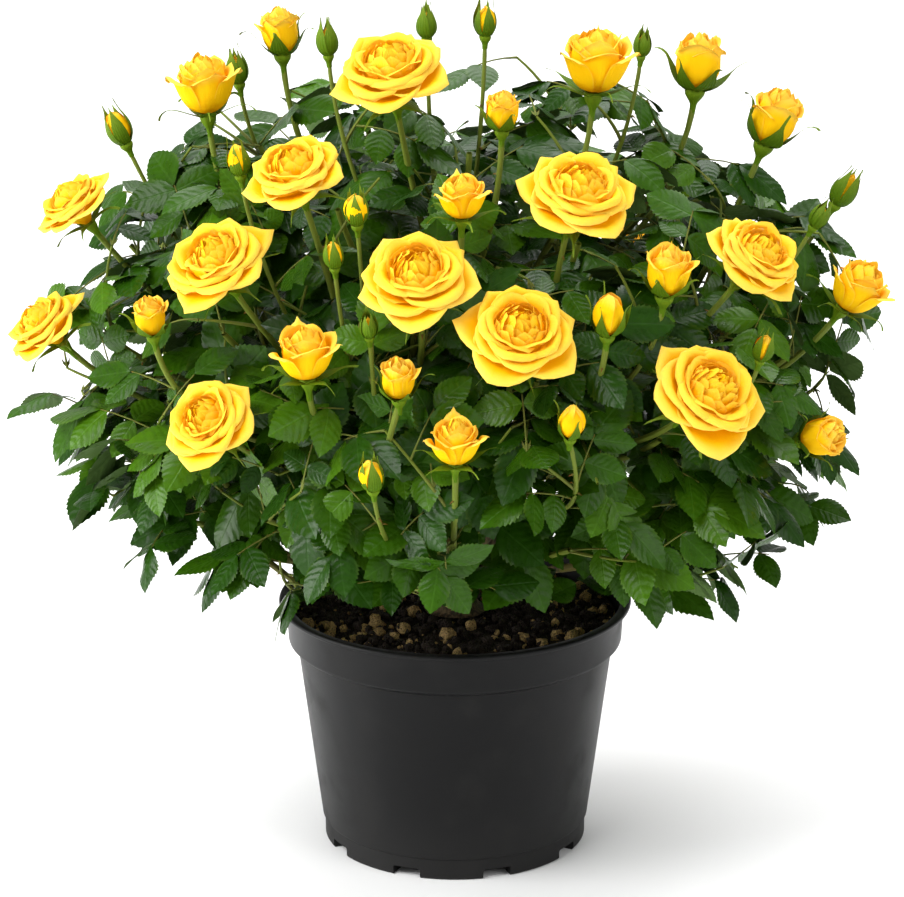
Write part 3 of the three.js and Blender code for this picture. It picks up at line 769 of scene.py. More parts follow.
class Gathered:
    """Points, faces and map places of many small things that become one piece."""

    def __init__(self):
        self.points, self.corners, self.sizes, self.places, self.total = [], [], [], [], 0

    def add(self, points, places, *face_sets):
        """Copies of one mesh: points (copies, n, 3) in mm, places on the map (copies, n, 2) and its
        faces, in one set for each number of corners."""
        copies, each, _ = points.shape
        places = np.broadcast_to(places, (copies, each, 2))
        first = self.total + each * np.arange(copies)[:, None, None]
        self.points.append(points.reshape(-1, 3))
        for faces in face_sets:
            self.corners.append((faces[None] + first).reshape(-1))
            self.sizes.append(np.full(copies * len(faces), faces.shape[1]))
            self.places.append(places[:, faces].reshape(-1, 2))
        self.total += copies * each

    def to_piece(self, name, material, slot, replaced=()):
        mesh = bpy.data.meshes.new(name)
        points, corners = np.concatenate(self.points) * MM, np.concatenate(self.corners)
        sizes, places = np.concatenate(self.sizes), np.concatenate(self.places)
        mesh.vertices.add(len(points))
        mesh.vertices.foreach_set("co", points.astype(np.float32).ravel())
        mesh.loops.add(len(corners))
        mesh.loops.foreach_set("vertex_index", corners.astype(np.int32))
        mesh.polygons.add(len(sizes))
        mesh.polygons.foreach_set("loop_start", (np.cumsum(sizes) - sizes).astype(np.int32))
        mesh.polygons.foreach_set("use_smooth", np.ones(len(sizes), bool))
        tile = mesh.uv_layers.new(name=TILE)
        tile.data.foreach_set("uv", places.astype(np.float32).ravel())
        mesh.update(calc_edges=True)
        mesh.validate()
        piece = bpy.data.objects.new(name, mesh)
        bpy.context.scene.collection.objects.link(piece)
        return finish_piece(piece, name, material, replaced)


def grid_faces(across, along):
    """Faces of a grid whose points run across first."""
    row, column = np.meshgrid(np.arange(along - 1), np.arange(across - 1), indexing="ij")
    first = (row * across + column).ravel()
    return np.stack((first, first + 1, first + across + 1, first + across), axis=1)


def add_tube(gathered, path, radii, sides, ages):
    """Adds a round tube, open at its ends, along a path. On the map U runs round it, and V along it
    between two ages."""
    ahead = unit(np.gradient(path, axis=0))
    side = np.cross(ahead, UP)
    side[np.linalg.norm(side, axis=1) < 1e-3] = (1, 0, 0)
    side = unit(side)
    over = np.cross(side, ahead)
    turn = np.linspace(0, 2 * np.pi, sides + 1)
    ring = np.cos(turn)[:, None] * side[:, None] + np.sin(turn)[:, None] * over[:, None]
    points = path[:, None] + ring * np.asarray(radii, float)[:, None, None]
    u = np.tile(np.linspace(0, 1, sides + 1), len(path))
    v = np.repeat(np.linspace(*ages, len(path)), sides + 1)
    places = np.stack((u, v), axis=1)[None]
    gathered.add(points.reshape(1, -1, 3), places, grid_faces(sides + 1, len(path)))


# ---------------------------------------------------------------- pot and soil


def pot_profile(wall):
    """The pot's section, from the middle of its underside, out, up, over the lip and down inside."""
    lip = LIP_HEIGHT / 2
    rounded = [
        (LIP_RADIUS - lip * (1 - math.sin(math.radians(a))), BAND_TOP + lip * (1 - math.cos(math.radians(a))))
        for a in range(0, 181, 22)
    ]
    inner = BAND_TOP_RADIUS - wall
    return [
        (FOOT_RADIUS - 4, 0), (FOOT_RADIUS - 1, 0.15), (FOOT_RADIUS, 1.2),
        (FOOT_RADIUS + 0.1, FOOT_HEIGHT - 0.4), (FOOT_RADIUS + 0.5, FOOT_HEIGHT),
        (WALL_BOTTOM_RADIUS - 0.4, FOOT_HEIGHT + FOOT_LEDGE - 0.2),
        (WALL_BOTTOM_RADIUS, FOOT_HEIGHT + FOOT_LEDGE + 0.4),
        (WALL_TOP_RADIUS - 0.4, WALL_TOP - 3), (WALL_TOP_RADIUS, WALL_TOP),
        (BAND_BOTTOM_RADIUS - 2.5, BAND_BOTTOM - 2.2), (BAND_BOTTOM_RADIUS - 0.3, BAND_BOTTOM - 0.3),
        (BAND_BOTTOM_RADIUS, BAND_BOTTOM + 0.8), (BAND_TOP_RADIUS - 0.4, BAND_TOP - 1.2),
        (BAND_TOP_RADIUS + 0.3, BAND_TOP - 0.3), (LIP_RADIUS - lip - 0.6, BAND_TOP),
        *rounded,
        (inner + 1.4, POT_HEIGHT - 0.2), (inner, POT_HEIGHT - 1.2),
        (BAND_BOTTOM_RADIUS - wall, BAND_BOTTOM + wall), (WALL_TOP_RADIUS - wall, WALL_TOP),
        (WALL_BOTTOM_RADIUS - wall, FLOOR_THICKNESS),
    ]


def cut_notches(pot):
    """Cuts the drainage notches round the foot."""
    for i in range(NOTCH_COUNT):
        angle = math.radians(NOTCH_BEARING + i * 360 / NOTCH_COUNT)
        clear_selection()
        bpy.ops.mesh.primitive_cube_add(
            size=1,
            location=(FOOT_RADIUS * MM * math.cos(angle), FOOT_RADIUS * MM * math.sin(angle), 0),
            rotation=(0, 0, angle),
            scale=(2 * NOTCH_DEPTH * MM, NOTCH_WIDTH * MM, 2 * NOTCH_HEIGHT * MM),
        )
        cutter = bpy.context.object
        bevel = cutter.modifiers.new("corners", "BEVEL")
        bevel.width, bevel.segments = 0.0012, 2
        apply_modifiers(cutter)
        cut = pot.modifiers.new("notch", "BOOLEAN")
        cut.operation, cut.solver, cut.object = "DIFFERENCE", "EXACT", cutter
        apply_modifiers(pot)
        bpy.data.objects.remove(cutter, do_unlink=True)


class ROSEBUSH_OT_pot(bpy.types.Operator):
    """Make the nursery pot"""

    bl_idname = "rosebush.pot"
    bl_label = "Pot"

    def execute(self, context):
        settings = context.scene.rose_pot
        pot = turn_profile(pot_profile(settings.wall / MM), settings.sides)
        cut_notches(pot)
        smooth_piece(pot)
        finish_piece(pot, "nursery_pot", plastic_material(settings), ["pot"])
        return {"FINISHED"}


SOIL_RINGS = 46
SOIL_SIDES = 140
POTTING_INSET = 0.6
CRUMB_SEED = 5
BIT_SEED = 11


def soil_height(radius):
    """The soil's level at a distance from the middle."""
    return lerp(SOIL_MIDDLE_HEIGHT, SOIL_EDGE_HEIGHT, np.clip((radius - 26) / 66, 0, 1)) - 0.8


def crumb_mesh(fine):
    """A lump's points and faces from an icosahedron, split once where it is fine."""
    clear_selection()
    bpy.ops.mesh.primitive_ico_sphere_add(subdivisions=2 if fine else 1, radius=1)
    lump = bpy.context.object
    points = np.array([vertex.co for vertex in lump.data.vertices])
    faces = np.array([face.vertices[:] for face in lump.data.polygons])
    bpy.data.objects.remove(lump, do_unlink=True)
    return points, faces


def scatter_crumbs(number, sizes, seed, fine, edge_bias):
    """Lumps of random shape and size that lie in the soil's surface, more of them towards the edge."""
    random = np.random.default_rng(seed)
    points, faces = crumb_mesh(fine)
    inside = BAND_BOTTOM_RADIUS - 2.2 - POTTING_INSET
    size = lerp(*sizes, random.random(number) ** 2.2)
    far = (inside - 1.1 * size) * random.random(number) ** edge_bias
    far = np.maximum(far, 21 + size)
    angle = random.random(number) * 2 * np.pi
    squash = random.uniform(0.6, 1.25, (number, 1, 3))
    rough = 1 + random.normal(0, 0.16, (number, len(points), 1))
    shape = points[None] * squash * rough
    spin = random.random(number) * 2 * np.pi
    c, s = np.cos(spin)[:, None], np.sin(spin)[:, None]
    x, y, z = (shape[..., i] for i in range(3))
    turned = np.stack((x * c - y * s, x * s + y * c, z), -1)
    middle = np.stack((far * np.cos(angle), far * np.sin(angle), soil_height(far) + 0.35 * size), -1)
    lumps = Gathered()
    lumps.add(turned * size[:, None, None] + middle[:, None], np.zeros((1, len(points), 2)), faces)
    return lumps


class ROSEBUSH_OT_soil(bpy.types.Operator):
    """Make the potting soil with its crumbs and pale bits"""

    bl_idname = "rosebush.soil"
    bl_label = "Soil"

    def execute(self, context):
        settings = context.scene.rose_soil
        wall = context.scene.rose_pot.wall / MM + POTTING_INSET
        edge = BAND_BOTTOM_RADIUS - wall
        rings = [lerp(edge, 0.6, i / SOIL_RINGS) for i in range(SOIL_RINGS + 1)]
        soil = turn_profile(
            [
                (WALL_BOTTOM_RADIUS - wall, FLOOR_THICKNESS + 2 * CLEARANCE),
                (WALL_TOP_RADIUS - wall, WALL_TOP),
                (edge, BAND_BOTTOM + 2.2),
                *((ring, float(soil_height(ring))) for ring in rings),
            ],
            SOIL_SIDES,
        )
        top = soil.vertex_groups.new(name="top")
        for vertex in soil.data.vertices:
            out = math.hypot(vertex.co.x, vertex.co.y) / MM
            if vertex.co.z / MM > SOIL_EDGE_HEIGHT - 2 and out < edge - 1:
                top.add([vertex.index], min(1.0, (edge - out) / 6), "REPLACE")
        for scale, share in ((0.016, 1.0), (0.005, 0.7)):
            lumps = add_lumps(soil, scale, settings.relief * share, 0.62)
            lumps.vertex_group, lumps.direction = "top", "Z"
        apply_modifiers(soil)
        smooth_piece(soil, 60)
        dark, tan = tuple(settings.dark), tuple(settings.tan)
        browner = tuple(2.6 * part for part in dark)
        ground = soil_material("compost", dark, browner, 700.0, 0.0016)
        finish_piece(soil, "compost_bed", ground, ["potting_soil"])
        crumbs = scatter_crumbs(settings.crumbs, (0.9, 3.6), CRUMB_SEED, False, 0.55)
        crumbs.to_piece("compost_crumbs", ground, "potting_soil")
        paler = soil_material("porous_bits", tuple(0.22 * part for part in tan), tan, 1100.0, 0.0009)
        bits = scatter_crumbs(settings.bits, (0.8, 4.6), BIT_SEED, True, 0.34)
        bits.to_piece("porous_bits", paler, "potting_soil")
        return {"FINISHED"}


# ---------------------------------------------------------------- wood

CROWN_STEM_SIDES = 48
CANE_STATIONS = 22
CANE_SIDES = 12
CANE_SEED = 3


class ROSEBUSH_OT_wood(bpy.types.Operator):
    """Make the crown stem and the canes with the relief of their bark"""

    bl_idname = "rosebush.wood"
    bl_label = "Crown stem and canes"

    def execute(self, context):
        settings = context.scene.rose_wood
        material = wood_material(settings)
        dome = [
            (HEAD_RADIUS * math.cos(a), HEAD_HEIGHT + HEAD_RADIUS * math.sin(a))
            for a in np.radians(range(-30, 85, 10))
        ]
        stem = turn_profile(
            [
                (FLARE_RADIUS - 1, SOIL_MIDDLE_HEIGHT + CLEARANCE), (FLARE_RADIUS, SOIL_MIDDLE_HEIGHT + 1),
                (NECK_RADIUS + 1.5, SOIL_MIDDLE_HEIGHT + 4), (NECK_RADIUS, SOIL_MIDDLE_HEIGHT + 7),
                *dome, (0.4, HEAD_HEIGHT + HEAD_RADIUS),
            ],
            CROWN_STEM_SIDES,
        )
        for scale, depth in ((0.014, 0.0026), (0.004, 0.0012)):
            add_lumps(stem, scale, depth, 0.6)
        apply_modifiers(stem)
        smooth_piece(stem, 50)
        finish_piece(stem, "bark_of_crown_stem", material, ["crown_stem"])
        random = np.random.default_rng(CANE_SEED)
        canes = Gathered()
        share = np.linspace(0, 1, CANE_STATIONS)
        for cane in CANES:
            uneven = 1 + random.normal(0, 0.05, CANE_STATIONS)
            radii = lerp(CANE_START_RADIUS, CANE_END_RADIUS, share) * uneven
            radii[0] *= 1.25
            add_tube(canes, on_curve(cane.curve, share), radii, CANE_SIDES, (0, 0.4))
        nodes = ["cane_" + cane.name for cane in CANES]
        canes.to_piece("bark_of_canes", material, "green_bark", nodes)
        return {"FINISHED"}


# ---------------------------------------------------------------- leaves

Leaf = namedtuple("Leaf", "root along face size leaflets tone")
LEAF_LEAN = (0.55, 0.3, 0.3)
LEAF_FACING = (0.8, 0.55)
LEAF_SIZES = (0.82, 1.15)
# How many leaves apart the twigs of a shoot are, at the front and at the back.
TWIG_EVERY = (2, 1)
TWIG_LENGTH = (34, 62)
LEAF_TURNS = (0, 50, -50, 100, -100, 150)
SHOOT_SEED = 1000
# Up to this Y a bloom or leaf counts as one at the front.
FRONT_TO = 40
# What leaves and twigs leave free: a share of each bloom's ball, which sits lower on a bud, and a
# lane in sight of it, in half widths and a margin.
HALO = 0.98
BUD_HALO_DROP = 0.2
SIGHT_WIDTH = 1.08
SIGHT_MARGIN = 1.5
# Higher than this, at the front and at the back, and further out than this share of the crown, only
# some of the leaves are kept.
THIN_ABOVE = (330, 400)
THIN_BEYOND = 0.66
THIN_KEPT = 0.52


def sight_of(bloom):
    """The direction that a bloom is seen from: the front, or straight out for those at the back."""
    return SEEN_FROM if bloom.middle[1] < FRONT_TO else unit(bloom.middle - HEAD)


def along_sight(away, sight):
    """How far points lie along a sight line and to the side of it."""
    ahead = away @ sight
    return ahead, np.linalg.norm(away - ahead[:, None] * sight, axis=1)


def halo_clear(points):
    """Whether points keep out of the blooms and out of the sight line to each."""
    for bloom in SHOWN_BLOOMS:
        half = bloom.width / 2
        middle = bloom.middle
        if bloom.stage not in ("open", "half"):
            middle = middle - bloom.axis * BUD_HALO_DROP * half
        away = points - middle
        if (np.linalg.norm(away, axis=1) < bloom.ball * HALO).any():
            return False
        ahead, aside = along_sight(away, sight_of(bloom))
        if ((ahead > 0) & (aside < SIGHT_WIDTH * half + SIGHT_MARGIN)).any():
            return False
    return True


def leaf_frame(point, tangent, angle):
    """Which way a leaf grows and faces at a point of a shoot, turned about it by an angle."""
    side = unit(np.cross(tangent, UP))
    over = np.cross(tangent, side)
    outward = unit(point - HEAD)
    a = math.radians(angle)
    along = side * math.cos(a) + over * math.sin(a)
    along = unit(along + LEAF_LEAN[0] * tangent + LEAF_LEAN[1] * outward - LEAF_LEAN[2] * UP)
    facing = LEAF_FACING[0] * outward + LEAF_FACING[1] * UP
    across = unit(np.cross(facing, along))
    return along, np.cross(along, across)


def leaf_fits(root, along, size):
    points = root + along * np.array((0.45, 0.75, 1.0))[:, None] * size
    inside = share_of_crown(LEAF_REACH, points) <= 1.0
    return bool(inside.all() and (points[:, 2] > LOWEST_LEAF).all() and halo_clear(points))


def leaves_along(curve, first, last, spacing, size, random, leaves):
    """Leaves on a curve from its outer end down, each turned on from the last by the golden angle."""
    number = max(1, round((last - first) * length_of(curve) / spacing))
    start = 360 * random.random()
    for i in range(number + 1):
        share = last - (last - first) * i / number
        point, tangent = on_curve(curve, share), tangent_of(curve, share)
        own = size * lerp(*LEAF_SIZES, random.random())
        leaflets = 5 if random.random() < 0.6 else 3
        tone = random.random()
        high = point[2] > THIN_ABOVE[int(point[1] > FRONT_TO)]
        outer = high and share_of_crown(LEAF_REACH, point) > THIN_BEYOND
        if random.random() > THIN_KEPT and outer:
            continue
        for turn in LEAF_TURNS:
            along, face = leaf_frame(point, tangent, start + GOLDEN_ANGLE * i + turn)
            if leaf_fits(point, along, own):
                leaves.append(Leaf(point, along, face, own, leaflets, tone))
                break


def plan_leaves(spacing, size):
    """All leaves and the finer twigs that bear some of them."""
    leaves, twigs = [], []
    for number, shoot in enumerate(SHOOTS):
        random = np.random.default_rng(SHOOT_SEED + number)
        first, last = shoot.leaves
        leaves_along(shoot.curve, first, last, spacing, size, random, leaves)
        every = TWIG_EVERY[int(shoot.curve[2][1] > 0)] * spacing
        places = np.arange(last - 0.04, 0.12, -every / length_of(shoot.curve))
        start = 360 * random.random()
        for i, share in enumerate(places):
            point, tangent = on_curve(shoot.curve, share), tangent_of(shoot.curve, share)
            along, _face = leaf_frame(point, tangent, start + GOLDEN_ANGLE * i)
            reach = lerp(*TWIG_LENGTH, random.random())
            bend = point + unit(along + 0.6 * tangent) * reach * 0.5
            curve = np.array((point, bend, point + unit(along + 0.25 * UP) * reach))
            tips = on_curve(curve, np.array((0.4, 0.7, 1.0)))
            if not halo_clear(tips) or (share_of_crown(LEAF_REACH, tips) > 0.93).any():
                continue
            if tips[:, 2].min() < LOWEST_LEAF:
                continue
            twigs.append(curve)
            leaves_along(curve, 0.35, 1.0, spacing, size * 0.92, random, leaves)
    return leaves, twigs


LEAFLET_STEPS = 12
LEAFLET_WIDTH = 0.64
LEAFLET_FULLNESS = 0.86
# How far a tooth stands out, and how far it points on within its step.
TOOTH = 0.038
TOOTH_AHEAD = 0.86
# Side leaflets of a leaf with five or three: place on the stalk, spread and share of the leaf's size.
SIDE_LEAFLETS = {5: ((0.88, 62, 0.44), (0.42, 74, 0.36)), 3: ((0.8, 66, 0.45),)}


def leaflet_mesh():
    """One leaflet of length 1 along X with saw teeth: its points, sets of faces and map."""
    s = np.linspace(0, 1, LEAFLET_STEPS + 1)
    wide = LEAFLET_WIDTH / 2 * np.sin(np.pi * s**LEAFLET_FULLNESS) ** LEAFLET_FULLNESS
    wide[0], wide[-1] = 0.02, 0.004
    tooth_at = s[:-1] + TOOTH_AHEAD / LEAFLET_STEPS
    tooth_wide = np.interp(tooth_at, s, wide) + TOOTH * np.sin(np.pi * tooth_at) ** 0.5
    rows = [(s, 0 * s)]
    for side in (1, -1):
        rows += [(s, side * wide * 0.5), (s, side * wide), (tooth_at, side * tooth_wide)]
    points = np.concatenate([np.stack((x, y), axis=1) for x, y in rows])
    n, teeth = LEAFLET_STEPS + 1, LEAFLET_STEPS
    side_size = 2 * n + teeth
    quads, triangles = [], []
    for k, side in enumerate((1, -1)):
        inner = n + k * side_size
        outer, tooth = inner + n, inner + 2 * n
        for i in range(LEAFLET_STEPS):
            a = [i, i + 1, inner + i + 1, inner + i]
            b = [inner + i, inner + i + 1, outer + i + 1, outer + i]
            c = [outer + i, outer + i + 1, tooth + i]
            quads += [a, b] if side > 0 else [a[::-1], b[::-1]]
            triangles += [c if side > 0 else c[::-1]]
    places = np.stack((0.5 + points[:, 1] / (LEAFLET_WIDTH + 2 * TOOTH), points[:, 0]), axis=1)
    return points, (np.array(quads), np.array(triangles)), places


def leaflet_points(flat, roots, along, face, size, random):
    """Leaflets set in place: each arches along its length, folds along its midrib and waves a little."""
    number = len(roots)
    across = np.cross(face, along)
    x, y = flat[:, 0][None], flat[:, 1][None]
    curl = random.uniform(0.02, 0.24, (number, 1))
    fold = random.uniform(0.05, 0.42, (number, 1))
    twist = random.normal(0, 0.12, (number, 1))
    wave = random.uniform(0.0, 0.022, (number, 1))
    phase = random.uniform(0, FULL_TURN, (number, 1))
    side = np.abs(y)
    height = -curl * x**2 + fold * side - 0.95 * side**2 + twist * x * y
    height = height + wave * np.sin(9 * x + phase) * side / 0.3
    long = x - 0.35 * curl**2 * x**3
    slim = random.uniform(0.88, 1.08, (number, 1))
    offset = long[..., None] * along[:, None] + (y * slim)[..., None] * across[:, None]
    offset = offset + height[..., None] * face[:, None]
    return roots[:, None] + size[:, None, None] * offset


def lay_leaflets(leaves, random):
    """Roots, directions, faces and sizes of all leaflets, and each leaf's stalk as a path."""
    rows, stalks = [], []
    for leaf in leaves:
        across = np.cross(leaf.face, leaf.along)
        sag = random.uniform(0.05, 0.2)
        curve = np.array((
            leaf.root,
            leaf.root + leaf.along * 0.3 * leaf.size + leaf.face * 0.03 * leaf.size,
            leaf.root + leaf.along * 0.55 * leaf.size - UP * sag * 0.3 * leaf.size,
        ))
        stalks.append(curve)
        ends = [(1.0, 0.0, 0.5)]
        for place, spread, length_share in SIDE_LEAFLETS[leaf.leaflets]:
            ends += [(place, spread, length_share), (place, -spread, length_share)]
        for place, spread, length_share in ends:
            point, ahead = on_curve(curve, place), tangent_of(curve, place)
            a = math.radians(spread + random.normal(0, 9))
            out = unit(ahead * math.cos(a) + across * math.sin(a))
            droop = random.uniform(0.08, 0.5)
            out = unit(out - UP * droop + leaf.face * random.normal(0, 0.12))
            face = leaf.face + across * random.normal(0, 0.22) + ahead * random.normal(0, 0.12)
            face = unit(face - (face @ out) * out)
            stalk = 1.2 if spread else 2.6
            size = leaf.size * length_share * random.uniform(0.86, 1.12)
            rows.append((point + out * stalk * 0.3, out, face, size))
    roots, along, face, size = (np.array(column) for column in zip(*rows))
    return roots, along, face, size, stalks


# Leaflets leave the soil in sight from its front edge back to here.
SOIL_SEEN_TO = -12
# How far leaflets may hang below the lowest leaf and stand out of the crown, how far past the lip they
# stay up, and in half widths of a bloom: the lane that they leave free in sight of it, where that
# starts behind its middle, and how near they come.
LEAFLET_DIP = 6
LEAFLET_REACH = 1.04
OVER_SOIL_MARGIN = 14
LEAFLET_LANE = 1.02
LEAFLET_LANE_START = 0.1
LEAFLET_HALO = 0.95

LEAF_SEED = 77
STEM_STATIONS = 8
STEM_SIDES = 9
SHOOT_STATIONS = 18
SHOOT_SIDES = 8
# A shoot swells at every fourth station, and is thinner under a bud narrower than this.
KNOT_EVERY = 4
KNOT_SWELL = 0.12
SMALL_BLOOM = 18
THIN_SHOOT = 0.72
TWIG_STATIONS = 7
TWIG_SIDES = 6
TWIG_RADII = (1.15, 0.7)
# A prickle's stations: outwards from the shoot's middle, and back along the shoot.
PRICKLE_OUT = (1.2, 2.6, 4.2)
PRICKLE_DOWN = (0, 0.2, 0.9)
PRICKLE_RADII = (0.9, 0.45, 0.03)
STALK_RADII = (0.85, 0.55, 0.5, 0.45, 0.35)
STALK_SIDES = 5
# A stipule's corners along the stalk and to its side, and on the map.
STIPULE = ((0, 0), (3.2, 0.4), (6.8, 2.6), (2.6, 1.9))
STIPULE_PLACES = ((0, 0), (0, 0.5), (1, 1), (1, 0.3))


def keep_in_reach(roots, along, face, size):
    """Which leaflets stay clear of soil, pot and blooms."""
    tips = roots + along * size[:, None]
    keep = tips[:, 2] > LOWEST_LEAF - LEAFLET_DIP
    over_soil = np.hypot(tips[:, 0], tips[:, 1]) < LIP_RADIUS + OVER_SOIL_MARGIN
    keep &= ~(over_soil & (tips[:, 2] < LOWEST_OVER_SOIL))
    keep &= share_of_crown(LEAF_REACH, tips) < LEAFLET_REACH
    below = tips - SEEN_FROM * ((tips[:, 2:] - POT_HEIGHT) / SEEN_FROM[2])
    keep &= (np.hypot(below[:, 0], below[:, 1]) > LIP_RADIUS) | (below[:, 1] > SOIL_SEEN_TO)
    for bloom in SHOWN_BLOOMS:
        half = bloom.width / 2
        sight = sight_of(bloom)
        for share in (0.3, 0.65, 1.0):
            away = roots + along * (size * share)[:, None] - bloom.middle
            ahead, aside = along_sight(away, sight)
            keep &= ~((ahead > -LEAFLET_LANE_START * half) & (aside < LEAFLET_LANE * half))
            keep &= np.linalg.norm(away, axis=1) > LEAFLET_HALO * half
    return keep


class ROSEBUSH_OT_leaves(bpy.types.Operator):
    """Make the shoots, finer twigs, leaf stalks and all leaflets"""

    bl_idname = "rosebush.leaves"
    bl_label = "Shoots and leaves"

    def execute(self, context):
        wood, settings = context.scene.rose_wood, context.scene.rose_leaves
        leaves, twigs = plan_leaves(settings.spacing / MM, settings.size / MM)
        random = np.random.default_rng(LEAF_SEED)
        self.make_shoots(wood, twigs, random)
        self.make_leaves(wood, settings, leaves, random)
        return {"FINISHED"}

    def make_shoots(self, wood, twigs, random):
        shoots, prickles = Gathered(), Gathered()
        for cane in CANES:
            path = on_curve(stem_of(cane), np.linspace(0, 1, STEM_STATIONS))
            radii = np.linspace(STEM_START_RADIUS, STEM_END_RADIUS, STEM_STATIONS)
            add_tube(shoots, path, radii, STEM_SIDES, (0.05, 0.35))
        share = np.linspace(0, 1, SHOOT_STATIONS)
        knots = 1 + KNOT_SWELL * (np.arange(SHOOT_STATIONS) % KNOT_EVERY == 0)
        for shoot in SHOOTS:
            thin = THIN_SHOOT if shoot.bloom and shoot.bloom.width < SMALL_BLOOM else 1.0
            radii = lerp(SHOOT_START_RADIUS, SHOOT_END_RADIUS, share) * thin * knots
            age = 1.0 if shoot.bloom else 0.7
            add_tube(shoots, on_curve(shoot.curve, share), radii, SHOOT_SIDES, (0.15, age))
            for place in random.uniform(0.15, 0.85, wood.prickles):
                point, ahead = on_curve(shoot.curve, place), tangent_of(shoot.curve, place)
                side = unit(np.cross(ahead, random.normal(size=3)))
                out, down = (np.array(way)[:, None] for way in (PRICKLE_OUT, PRICKLE_DOWN))
                add_tube(prickles, point + side * out - ahead * down, PRICKLE_RADII, 4, (0.3, 0.9))
        for twig in twigs:
            path = on_curve(twig, np.linspace(0, 1, TWIG_STATIONS))
            add_tube(shoots, path, np.linspace(*TWIG_RADII, TWIG_STATIONS), TWIG_SIDES, (0.35, 0.8))
        masses = ["foliage_" + cane.name for cane in CANES]
        shoots.to_piece("flowering_shoots", shoot_material(wood), "green_bark", masses)
        red = green_material("prickle_red", tuple(wood.red), (0.2, 0.05, 0.015))
        prickles.to_piece("prickles", red, "green_bark")

    def make_leaves(self, wood, settings, leaves, random):
        flat, faces, places = leaflet_mesh()
        stalks = Gathered()
        greens = (
            ("leaves_deep", tuple(settings.deep), 0.0, 0.3),
            ("leaves_middle_a", tuple(settings.middle), 0.3, 0.56),
            ("leaves_middle_b", tuple(0.86 * part for part in settings.middle), 0.56, 0.8),
            ("leaves_fresh", tuple(settings.fresh), 0.8, 1.01),
        )
        for name, green, low, high in greens:
            own = [leaf for leaf in leaves if low <= leaf.tone < high]
            roots, along, face, size, paths = lay_leaflets(own, random)
            keep = keep_in_reach(roots, along, face, size)
            roots, along, face, size = roots[keep], along[keep], face[keep], size[keep]
            leaflets = Gathered()
            leaflets.add(leaflet_points(flat, roots, along, face, size, random), places, *faces)
            leaflets.to_piece(name, leaf_material(name, green, settings), "leaves_and_roses")
            for curve in paths:
                path = on_curve(curve, np.linspace(0, 1, len(STALK_RADII)))
                add_tube(stalks, path, STALK_RADII, STALK_SIDES, (0.2, 0.8))
                self.add_stipules(stalks, curve)
        stalk = green_material("leaf_stalk", (0.14, 0.17, 0.035), tuple(wood.red))
        stalks.to_piece("leaf_stalks", stalk, "green_bark")

    def add_stipules(self, stalks, curve):
        """A pair of small pointed wings at the foot of a leaf stalk."""
        ahead = tangent_of(curve, 0.0)
        side = unit(np.cross(ahead, UP))
        for way in (1, -1):
            wing = np.array([curve[0] + ahead * on + side * way * aside for on, aside in STIPULE])
            stalks.add(wing[None], np.array(STIPULE_PLACES)[None], np.arange(len(STIPULE))[None])


# ---------------------------------------------------------------- blooms

PETAL_COLUMNS = 8
ROLL_FROM = 0.82
BEND_STEPS = 24
# Points across, and stations from foot to rim: of the large petals, of the small ones in the heart
# and of the sepals.
LARGE = (9, np.concatenate((np.linspace(0, ROLL_FROM, 7), np.linspace(ROLL_FROM, 1, 5)[1:])))
SMALL = (5, np.linspace(0, 1, 7))
SLIM = (5, np.linspace(0, 1, 12))

# Whorls of each stage from the outside in. Lengths and radii are in half widths of the bloom:
# count, foot radius, foot height, length, width, angles from the axis at foot, middle and rim,
# how far the rim curls back, cusp, cup, and depth of colour from 0 outside to 1 at the heart.
Whorl = namedtuple("Whorl", "number radius height length width foot middle rim roll cusp cup depth")
BUD_WHORLS = (
    Whorl(3, 0.20, -1.00, 2.90, 1.90, 60, -6, -84, 0, 0.08, 0, 0.3),
    Whorl(3, 0.16, -0.95, 2.80, 1.50, 50, -8, -80, 0, 0.08, 0, 0.43),
)
WHORLS = {
    "open": (
        Whorl(5, 0.08, -0.50, 1.14, 1.76, 34, 62, 70, 110, 0.04, 0.20, 0.0),
        Whorl(5, 0.08, -0.48, 1.12, 1.62, 34, 46, 50, 180, 0.025, 0.14, 0.14),
        Whorl(5, 0.08, -0.46, 1.12, 1.44, 38, 32, 24, 180, 0.02, 0.08, 0.29),
        Whorl(6, 0.08, -0.42, 1.02, 1.02, 46, 24, 2, 80, 0.01, 0.02, 0.43),
    ),
    "half": (
        Whorl(3, 0.20, -0.80, 1.58, 0.98, 80, 24, 50, 90, 0.05, 0.10, 0.05),
        Whorl(4, 0.20, -0.80, 1.42, 1.60, 80, 10, 8, 100, 0.03, 0.05, 0.14),
        Whorl(5, 0.20, -0.78, 1.50, 1.34, 78, 4, -12, 60, 0.02, 0.03, 0.3),
        Whorl(6, 0.18, -0.74, 1.50, 1.05, 70, 2, -32, 20, 0.02, 0.02, 0.43),
    ),
    "barrel": (
        Whorl(1, 0.22, -1.00, 1.74, 1.50, 84, 12, 28, 90, 0.03, 0.04, 0.14),
        Whorl(3, 0.20, -1.00, 1.84, 2.20, 84, 6, -6, 80, 0.03, 0.02, 0.14),
        Whorl(3, 0.20, -0.98, 1.90, 2.00, 80, 4, -14, 70, 0.03, 0.02, 0.14),
        Whorl(4, 0.18, -0.96, 1.92, 1.40, 74, 2, -26, 40, 0.03, 0.02, 0.14),
    ),
    "pointed": (
        Whorl(3, 0.18, -1.02, 2.76, 1.80, 62, -4, -80, 0, 0.03, 0, 0.2),
        Whorl(3, 0.14, -0.98, 2.70, 1.65, 54, -6, -78, 0, 0.03, 0, 0.3),
    ),
    "bud": BUD_WHORLS,
    "green": (Whorl(3, 0.14, -0.95, 2.60, 1.50, 56, -14, -44, 0, 0.03, 0, 0.3),),
}
